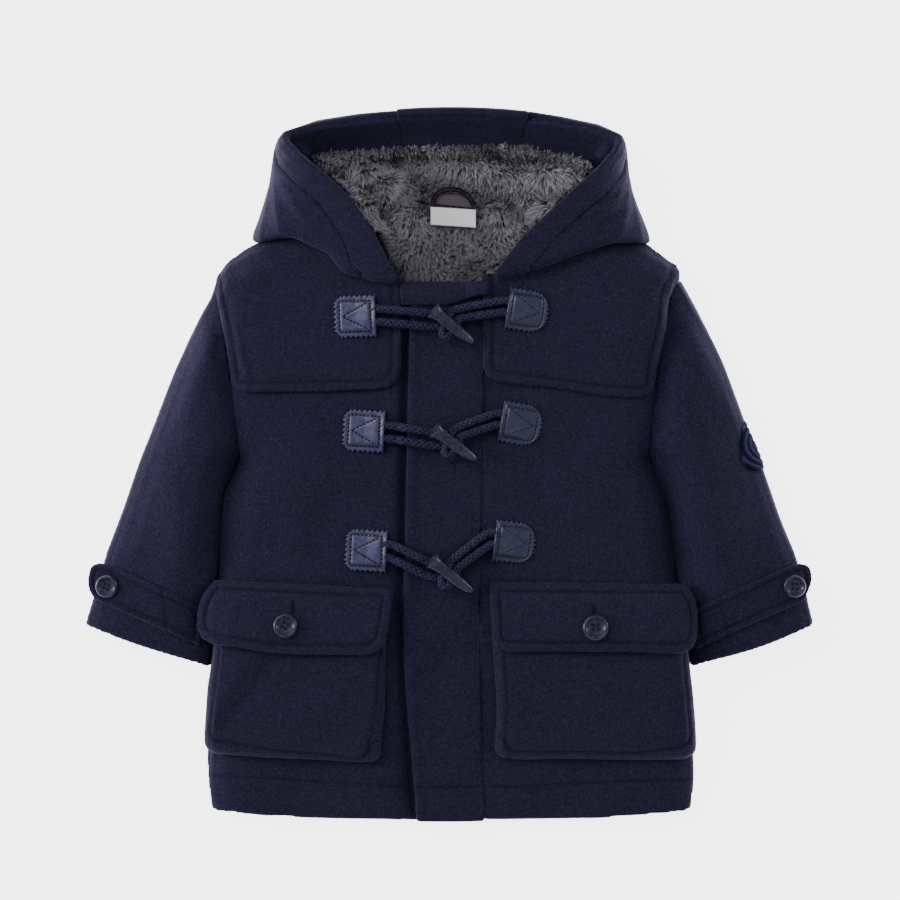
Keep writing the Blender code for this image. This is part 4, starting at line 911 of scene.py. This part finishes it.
def pills(name, frames, material):  # one mesh of many small rounded parts
    base = bmesh.new()
    bmesh.ops.create_icosphere(base, subdivisions=1, radius=1.0)
    points = np.array([v.co for v in base.verts])
    faces = np.array([[v.index for v in f.verts] for f in base.faces])
    base.free()
    frames = np.array(frames)
    placed = np.einsum("nij,pj->npi", frames[:, :, :3], points) + frames[:, None, :, 3]
    shifted = faces[None] + (np.arange(len(frames)) * len(points))[:, None, None]
    mesh = bpy.data.meshes.new(name)
    mesh.from_pydata((placed.reshape(-1, 3) * mm).tolist(), [], shifted.reshape(-1, 3).tolist())
    return addPiece(name, mesh, material)


def tubes(name, paths, radius, roundness):  # one mesh of round cords
    curve = bpy.data.curves.new(name, "CURVE")
    curve.dimensions = "3D"
    curve.bevel_depth = radius * mm
    curve.bevel_resolution = roundness
    curve.use_fill_caps = True
    for path in paths:
        spline = curve.splines.new("POLY")
        spline.points.add(len(path) - 1)
        spline.points.foreach_set("co", np.c_[path * mm, np.ones(len(path))].ravel())
    piece = inScene(name, curve)
    mesh = asMesh(piece)
    bpy.data.objects.remove(piece)
    return mesh


def stitchFrame(a, b, sink=0.12):  # along, across, up and middle of one stitch between two points
    along = unit(b - a)
    across = unit(np.cross([0, 0, 1.0], along))
    up = np.cross(along, across)
    return np.stack([along, across, up, (a + b) / 2 - up * sink], axis=1)


stitch = {"filled": 0.66, "rise": 1.5}  # part of its pitch that it takes, and how far it climbs at most
missed = -99  # height where there is no cloth


def stitchesAlong(tree, path, pitch, width, lift=0.0):
    path = np.array(path, dtype=float)
    reach = reachOf(path)
    frames = []
    for i in range(int(reach[-1] / pitch)):
        at = [(i + part) * pitch for part in (0.5 - stitch["filled"] / 2, 0.5 + stitch["filled"] / 2)]
        ends = setDown(tree, spotsOn(path, reach, at), missed, lift)
        heights = [end[2] for end in ends]
        if min(heights) > missed / 2 and abs(heights[0] - heights[1]) < stitch["rise"]:
            frame = stitchFrame(*ends)
            frame[:, :3] *= (pitch * stitch["filled"] / 2, width / 2, width / 2)
            frames.append(frame)
    return frames


# toggle rows: leather patches, braided cords and horn toggles

rowShift = np.array([1.25, -0.85])
rows = (  # of each patch its inner edge's middle and turn, of the toggle its middle and turn
    {"left": (38.5, 109.0, -8.7), "right": (-53.2, 103.4, 2.0), "toggle": (0.9, 95.6, -36.5)},
    {"left": (34.0, 30.3, -10), "right": (-47.2, 22.4, -3), "toggle": (2.4, 13.3, -33.5)},
    {"left": (29.4, -53, -7), "right": (-45.6, -61.2, -3), "toggle": (0.2, -78.2, -35)},
)
patch = {
    "size": 28.5, "thick": 1.5, "cells": 48, "zigzag": 0.85, "tooth": 6, "clear": 0.15, "swell": 0.6,
    "seam": (3.3, 1.1), "deep": 0.45, "lip": (1.1, 0.9, 0.75), "vee": (0.2, 0.8, 0.32),
    "inset": 3.5, "pitch": 2.7,
    # the patches at +X take the shaded copy of the leather, painted shade for light from -X; those at -X
    # take the lit copy
    1: {"corner": 12.0, "thread": 0.7, "finish": makeLeather("navyLeatherShaded", *tones["shadedLeather"])},
    -1: {"corner": 6.5, "thread": 1.2, "finish": makeLeather("navyLeather", *tones["leather"])},
}
cordFinish = makeCord("navyCord", tones["cord"])
hornFinish = makeHorn()
threadNavy = makeThread("navyThread", (0.013, 0.0115, 0.032))
# dark thread for the patch stitches, also used as painted shade in the buttonhole slits
threadDarkAndShade = makeThread("darkThreadAndSlitShade", (0.003, 0.003, 0.008))


def patchSpot(edge, direction, turn, u, v):  # u from the inner edge out, v across, with round outer corners
    size, corner = patch["size"], patch[direction]["corner"]
    across, up = u * size, (v - 0.5) * size
    p = (across - (size - corner)) / corner
    q = (abs(up) - (size / 2 - corner)) / corner
    if p > 0 and q > 0:
        across = size - corner + corner * p * math.sqrt(1 - q * q / 2)
        up = math.copysign(size / 2 - corner + corner * q * math.sqrt(1 - p * p / 2), up)
    return edge + turned((across * direction, up), turn)


def tooth(k, depth):
    period = patch["tooth"]
    return patch["zigzag"] * (abs(k % period - period / 2) / (period / 4) - 1) * max(1 - depth / 4, 0)


def patchRelief(u, v, direction):  # height over the solid and depth of the sewn groove
    size = patch["size"]
    side = min(u, 1 - u, v, 1 - v) * size
    groove = bell(side - patch["seam"][0], patch["seam"][1])
    if direction < 0:
        start, end, half = patch["vee"]
        vee = abs(abs(v - 0.5) - half * (1 - (u - start) / (end - start))) * size * 0.9
        groove = max(groove, bell(vee, 0.55) * (start < u < 0.82))
    at, width, lip = patch["lip"]
    rise = patch["clear"] + patch["swell"] * ease((side - 2.8) / 3.0) + lip * bell(u * size - at, width)
    return rise - patch["deep"] * groove - 0.5 * ease((0.9 - side) / 0.9), groove


def leatherPatch(name, edge, direction, turn):
    cells, size = patch["cells"], patch["size"]
    tree = treeOf(nodes[name])
    form = bmesh.new()
    bmesh.ops.create_grid(form, x_segments=cells, y_segments=cells, size=0.5)
    grooves = []
    for vert in form.verts:
        u, v = vert.co.x + 0.5, vert.co.y + 0.5
        i, j = round(u * cells), round(v * cells)
        under = patchSpot(edge, direction, turn, min(max(u, 0.03), 0.965), min(max(v, 0.035), 0.965))
        du = tooth(j, cells - i) / size
        dv = (tooth(i, cells - j) - tooth(i, j)) / size
        rise, groove = patchRelief(u, v, direction)
        place = patchSpot(edge, direction, turn, u + du, v + dv)
        vert.co = Vector((*place, heightOn(tree, *under) + rise)) * mm
        grooves.append(groove * 0.85)
    if direction < 0:
        bmesh.ops.reverse_faces(form, faces=form.faces)
    finish = patch[direction]["finish"]
    piece = addPiece(name + "_leather", meshFrom(form, name), finish, [name])
    setAttribute(piece.data, "groove", np.array(grooves))
    shape(piece, SOLIDIFY={"thickness": patch["thick"] * mm, "offset": -1})
    top = treeOf(piece)
    near, far = patch["inset"] / size, 1 - patch["inset"] / size
    border = [(near, near), (0.6, near), (0.75, near), (far, near), (far, 0.25), (far, 0.4), (far, 0.6),
              (far, 0.75), (far, far), (0.75, far), (0.6, far), (near, far), (near, near)]
    parts = np.linspace(0, 1, 8, endpoint=False)
    border = [(a[0] + (b[0] - a[0]) * t, a[1] + (b[1] - a[1]) * t)
              for a, b in zip(border, border[1:]) for t in parts] + border[:1]
    start, end, half = patch["vee"]
    frames = []
    for run in (border, [(start, 0.5 + half), (end, 0.5), (start, 0.5 - half)]):
        path = [patchSpot(edge, direction, turn, u, v) for u, v in run]
        frames += stitchesAlong(top, path, patch["pitch"], patch[direction]["thread"], lift=0.1)
    return frames


def smoothRoute(knots, step):  # even points on a Catmull-Rom line through the knots
    knots = np.array(knots, dtype=float)
    padded = np.concatenate([[2 * knots[0] - knots[1]], knots, [2 * knots[-1] - knots[-2]]])
    points = []
    for p0, p1, p2, p3 in zip(padded, padded[1:], padded[2:], padded[3:]):
        for t in np.linspace(0, 1, 24, endpoint=False):
            points.append(0.5 * (2 * p1 + (p2 - p0) * t + (2 * p0 - 5 * p1 + 4 * p2 - p3) * t * t
                                 + (3 * p1 - p0 - 3 * p2 + p3) * t ** 3))
    points = np.array(points + [knots[-1]])
    reach = reachOf(points)
    return spotsOn(points, reach, np.linspace(0, reach[-1], int(reach[-1] / step) + 1))


def headingOf(route):  # which way a route runs at each point, and its left
    heading = unit(np.gradient(route, axis=0))
    return heading, np.stack([-heading[:, 1], heading[:, 0]], axis=1)


cord = {
    "radius": 3.1, "strands": 4, "middle": 2.0, "over": 0.3, "thread": 0.95, "turn": 15.0, "offset": 0.4,
    "probes": (-5, -2.5, 0, 2.5, 5), "clear": 0.3, "squeeze": 0.1, "bend": (50, 0, -50), "planStep": 3.0,
    "step": 0.9,
}


def loopRoute(knots, spread, hold, lift):  # both strands of a loop and the bend that joins them
    centre = smoothRoute(knots, cord["planStep"])
    heading, side = headingOf(centre)
    half = cord["radius"] - cord["squeeze"]
    t = np.linspace(0, 1, len(centre))
    width = spread + (half - spread) * ease((t - hold) / (1 - hold))
    rise = lift * ease(t * 1.4 - 0.4)

    def knot(plan, rise):
        height = max(heightOn(clothTree, plan[0] + i, plan[1]) for i in cord["probes"])
        return np.array([*plan, height + cord["clear"] + cord["radius"] + rise])

    there, back = ([knot(*spot) for spot in zip(centre + side * (width * sign)[:, None], rise)]
                   for sign in (1, -1))
    bend = [knot(centre[-1] + half * (heading[-1] * math.cos(turn) + side[-1] * math.sin(turn)), lift)
            for turn in np.radians(cord["bend"])]
    return smoothRoute(there + bend + back[::-1], cord["step"])


def braidedCord(name, route, solid):
    along = unit(np.gradient(route, axis=0))
    up = unit(np.array([0, 0, 1.0]) - along * along[:, 2:3])
    across = np.cross(along, up)
    phase = 2 * math.pi * reachOf(route) / cord["turn"]
    strands = []
    for way in (1, -1):
        for k in range(cord["strands"]):
            angle = way * phase + 2 * math.pi * k / cord["strands"] * way + cord["offset"] * (way < 0)
            radius = cord["middle"] + way * cord["over"] * np.cos(4 * phase + math.pi * k)
            outward = np.cos(angle)[:, None] * up + np.sin(angle)[:, None] * across
            strands.append(route + radius[:, None] * outward)
    return addPiece(name, tubes(name, strands, cord["thread"], 1), cordFinish, [solid])


horn = {
    "rings": ((0.045, 0.40), (0.03, 0.70), (0.0, 0.90), (0.012, 1.0), (0.05, 0.88), (0.10, 0.74),
              (0.2, 0.64), (0.4, 0.63), (0.6, 0.63), (0.75, 0.57), (0.87, 0.45), (0.95, 0.32),
              (0.985, 0.22), (1.0, 0.09)),
    "length": 36.4, "radius": 6.6, "flat": 0.85, "facet": 0.84, "bow": 1.1, "arch": 1.2, "drop": 3.4,
    "sunk": 5.3,
}


def extruded(form, edges):  # the new points and free edges of walls grown from edges
    grown = bmesh.ops.extrude_edge_only(form, edges=edges)["geom"]
    points = [v for v in grown if isinstance(v, bmesh.types.BMVert)]
    return points, [e for e in grown if isinstance(e, bmesh.types.BMEdge) and e.is_boundary]


def buildToggle(name, middle, turn):
    along, across = turned((1.0, 0.0), turn), turned((0.0, 1.0), turn)
    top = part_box(name)[1][2] / mm - horn["sunk"]
    form = bmesh.new()
    bmesh.ops.create_circle(form, cap_ends=True, segments=28, radius=1.0)
    angles = [math.atan2(v.co.y, v.co.x) for v in form.verts]
    ring = list(form.verts)
    rim = list(form.edges)
    for i, (t, size) in enumerate(horn["rings"]):
        if i:
            ring, rim = extruded(form, rim)
        for vert, angle in zip(ring, angles):
            reach = horn["radius"] * size
            up = min(math.sin(angle), horn["facet"] + 0.12 * math.cos(angle)) * reach * horn["flat"]
            run = horn["length"] * (t - 0.5) + 0.25 * up * max(1 - t * 6, 0)
            side = math.cos(angle) * reach + horn["bow"] * math.cos(t * math.pi * 1.2) * 0.6
            height = top - horn["drop"] * t + horn["arch"] * math.sin(t * math.pi) + up
            vert.co = Vector((*(middle + along * run + across * side), height)) * mm
    bmesh.ops.contextual_create(form, geom=rim)
    bmesh.ops.recalc_face_normals(form, faces=form.faces)
    piece = addPiece(name + "_horn", meshFrom(form, name), hornFinish, [name])
    shape(piece, SUBSURF={"levels": 1, "render_levels": 1})


sides = {"left": 1, "right": -1}
loops = {  # knots from the toggle's middle: across, along, and in X and Y; route: spread, hold and lift
    "left": {"knots": ((8.5, -3.0, (0, 0)), (3.0, -2.5, (0, 0)), (-5.8, -1.5, (0, 0))),
             "route": (3.9, 0.05, 2.6)},
    "right": {"knots": ((0, -7.5, (-9.0, 0.0)), (0, -5.0, (0.5, -1.0))), "route": (4.5, 0.7, 0.0)},
}
patchFrames = []
for i, row in enumerate(rows, start=1):
    middle, toggleTurn = np.array(row["toggle"][:2]) + rowShift, row["toggle"][2]
    along, across = turned((1.0, 0.0), toggleTurn), turned((0.0, 1.0), toggleTurn)
    edges = {side: np.array(row[side][:2]) + rowShift for side in sides}
    for side, direction in sides.items():
        patchFrames += leatherPatch("patch_%s_%d" % (side, i), edges[side], direction, row[side][2])
    for side, direction in sides.items():
        out = turned((-direction, 0.0), row[side][2])
        knots = [edges[side] + out * far for far in (-2.0, 4.0)]
        knots += [middle + across * a + along * b + shift for a, b, shift in loops[side]["knots"]]
        name = "loop_%s_%d" % (side, i)
        braidedCord(name + "_cord", loopRoute(knots, *loops[side]["route"]), name)
    buildToggle("toggle_%d" % i, middle, toggleTurn)
pills("patch_stitches", patchFrames, threadDarkAndShade)
print("fastenings done")

# buttons

button = {
    "profile": ((4.6, 1.2), (5.2, 1.35), (5.8, 2.0), (6.4, 2.75), (7.1, 3.15), (7.9, 3.05), (8.6, 2.4),
                (9.0, 1.5), (8.6, 0.6), (7.4, 0.0)),
    "radius": 9.0, "hole": 1.2, "narrow": 0.15, "ring": 2.3, "deep": 2.2, "lift": 0.6, "crease": 50,
    "well": (0.9, 4.2),
    "each": {  # turn and share of the solid's size
        "button_flap_right": (-27, 0.99), "button_flap_left": (5, 0.99),
        "button_cuff_right": (-15, 0.96), "button_cuff_left": (0, 0.96),
    },
}


def buttonForm(turn):
    form = bmesh.new()
    ring = [form.verts.new((x, 0, z)) for x, z in button["profile"]]
    edges = [form.edges.new(pair) for pair in zip(ring, ring[1:])]
    bmesh.ops.spin(form, geom=ring + edges, cent=(0, 0, 0), axis=(0, 0, 1), angle=2 * math.pi, steps=48,
                   use_merge=True)
    bmesh.ops.remove_doubles(form, verts=form.verts, dist=0.01)
    rims = [e for e in form.edges if e.is_boundary]
    well = button["profile"][0][1]
    holes, spots = [], []
    for i in range(4):
        angle = math.radians(turn + 45 + 90 * i)
        made = bmesh.ops.create_circle(form, cap_ends=False, segments=12, radius=button["hole"])["verts"]
        spots.append(Vector((math.cos(angle) * button["ring"], math.sin(angle) * button["ring"], well)))
        bmesh.ops.translate(form, verts=made, vec=spots[-1])
        holes += dict.fromkeys(e for v in made for e in v.link_edges)
    inner = [e for e in rims if e.verts[0].co.z > 1]
    bmesh.ops.triangle_fill(form, use_beauty=True, edges=inner + holes, normal=(0, 0, 1))
    lower, ends = extruded(form, holes)
    for vert in lower:  # the holes narrow to a point, painted near-black as shade
        spot = min(spots, key=lambda s: (s - vert.co).length)
        vert.co = spot + (vert.co - spot) * button["narrow"] - Vector((0, 0, button["deep"]))
    bmesh.ops.edgeloop_fill(form, edges=ends + [e for e in rims if e.verts[0].co.z < 1])
    bmesh.ops.recalc_face_normals(form, faces=form.faces)
    return form


def sewnButton(name, turn, share):
    solid = solidForm([name])
    spots = np.array([v.co for v in solid.verts])
    middle = spots.mean(axis=0)
    normal = np.linalg.svd(spots - middle)[2][2]
    normal, middle = Vector(normal * math.copysign(1, normal[2])), Vector(middle)
    radius = max((v.co - middle - normal * (v.co - middle).dot(normal)).length for v in solid.verts)
    low = min((v.co - middle).dot(normal) for v in solid.verts)
    solid.free()
    form = buttonForm(turn)
    size = radius / button["radius"] * share
    high, wide = button["well"]
    # the hole walls and bottoms, where the painted shade goes
    wells = np.array([float(v.co.z < high and math.hypot(v.co.x, v.co.y) < wide) for v in form.verts])
    bmesh.ops.scale(form, verts=form.verts, vec=(size, size, size))
    tilt = Vector((0, 0, 1)).rotation_difference(normal).to_matrix().to_4x4()
    bmesh.ops.transform(form, matrix=tilt, verts=form.verts)
    bmesh.ops.translate(form, verts=form.verts, vec=middle + normal * (low + button["lift"] * mm))
    piece = addPiece(name + "_turned", meshFrom(form, name), hornFinish, [name])
    piece.data.set_sharp_from_angle(angle=math.radians(button["crease"]))
    setAttribute(piece.data, "well", wells)


for name, (turn, share) in button["each"].items():
    sewnButton(name, turn, share)
print("buttons done")

# neck trims

whiteSatin = makeSatin("whiteSatin", (0.97, 0.96, 0.99), (0.55, 0.20, 0.26))
mauveSatin = makeSatin("mauveSatin", (0.085, 0.062, 0.078), (0.085, 0.062, 0.078))


def flatTrim(name, material, lift, edge=0.0, middle=0.0, squeeze=1.0):
    form = solidForm([name])
    rim = rimOf(form, *allRound)
    piece = addPiece(name + "_satin", meshFrom(form, name), material, [name])
    shape(piece, REMESH={"mode": "VOXEL", "voxel_size": 0.4 * mm}, SMOOTH={"iterations": 3})
    points = pointsOf(piece.data)
    away = distanceToRim(points, rim) if edge else np.full(len(points), 9.0)
    points[:, 2] += lift
    centre = points[:, 1].mean()
    points[:, 1] = centre + middle + (points[:, 1] - centre) * squeeze
    setPoints(piece.data, points)
    setAttribute(piece.data, "groove", bell(away, max(edge, 0.1)))
    return piece


label = flatTrim("neck_label", whiteSatin, lift=2.2, edge=0.5, middle=1.8, squeeze=0.81)
halfMoon = flatTrim("neck_patch", mauveSatin, lift=1.6)
tape = {
    "line": ((-12.2, 180.6), (-11.2, 185.6), (-8.0, 189.4), (-3.4, 191.4), (1.4, 191.8), (6.6, 191.0),
             (11.0, 188.3), (14.3, 184.8), (16.0, 180.6)),
    "height": 14.4, "cord": 0.72, "apart": 0.95, "step": 0.8,
}
plan = smoothRoute(tape["line"], tape["step"])
aside = headingOf(plan)[1] * tape["apart"]
height = np.full(len(plan), tape["height"])
mesh = tubes("hangTape", [np.c_[plan + aside * sign, height] for sign in (1, -1)], tape["cord"], 2)
addPiece("hang_loop_tape", mesh, makeCord("blackTape", tones["tape"]), ["hang_loop"])
badge = {"cell": 0.8, "soften": 3, "edge": 0.5, "grow": 0.1, "rings": ((4.2, 8.6, 12.8, 17.0), 0.8, 0.7),
         "sheet": (0.037, 0.037, 0.00105, ["sleeve_left_top"])}
clothPiece("sleeve_badge", ["sleeve_badge"], badge, makeBadge())

# lines of stitches on the wool

sewing = {"pitch": 3.0, "rim": 0.6, "seam": 0.5, "near": 0.5}
slit = {"stitches": 14, "from": 0.35, "to": 2.0, "thread": (0.85, 0.36, 0.3), "cut": (5.0, 0.42, 0.3)}
seamFrames = []
for name, (lines, rim, inset) in seamLines.items():
    tree = treeOf(surfaces[name])
    flat = [(a[:2], b[:2]) for a, b, wall in rim]
    for line in lines:
        reach = reachOf(line)
        dense = spotsOn(line, reach, np.arange(0, reach[-1], 1.0))
        dense = dense[distanceToRim(dense, flat) > inset - sewing["near"]]
        if len(dense) > 2:
            seamFrames += stitchesAlong(tree, dense, sewing["pitch"], sewing["rim"])
for name, settings in cloth.items():
    for line, depth in settings.get("seams", ()):
        seamFrames += stitchesAlong(treeOf(surfaces[name]), line, sewing["pitch"], sewing["seam"])
slits = {
    "pocket_flap_right": ((-109.9, -96.0), (-109.7, -105.4)),
    "pocket_flap_left": ((99.9, -98.6), (99.9, -108.4)),
}
slitFrames = []
for name, (start, end) in slits.items():
    tree = treeOf(surfaces[name])
    for t in np.linspace(0, 1, slit["stitches"]):
        x, y = np.array(start) * (1 - t) + np.array(end) * t
        for sign in (1, -1):
            spots = [(x + sign * slit[side], y) for side in ("from", "to")]
            frame = stitchFrame(*setDown(tree, spots), sink=0.1)
            frame[:, :3] *= slit["thread"]
            seamFrames.append(frame)
    # painted shade: a dark pill lies along each buttonhole's cut
    frame = stitchFrame(*setDown(tree, (start, end)), sink=-0.05)
    frame[:, :3] *= slit["cut"]
    slitFrames.append(frame)
pills("buttonhole_slits", slitFrames, threadDarkAndShade)
pills("wool_stitches", seamFrames, threadNavy)
print("stitches:", len(seamFrames))

# floor

form = bmesh.new()
bmesh.ops.create_grid(form, x_segments=1, y_segments=1, size=6)
bmesh.ops.translate(form, verts=form.verts, vec=(0, 0, -0.0004))
floor = inScene("floor", meshFrom(form, "floor"))
floor.data.materials.append(makeFloor())
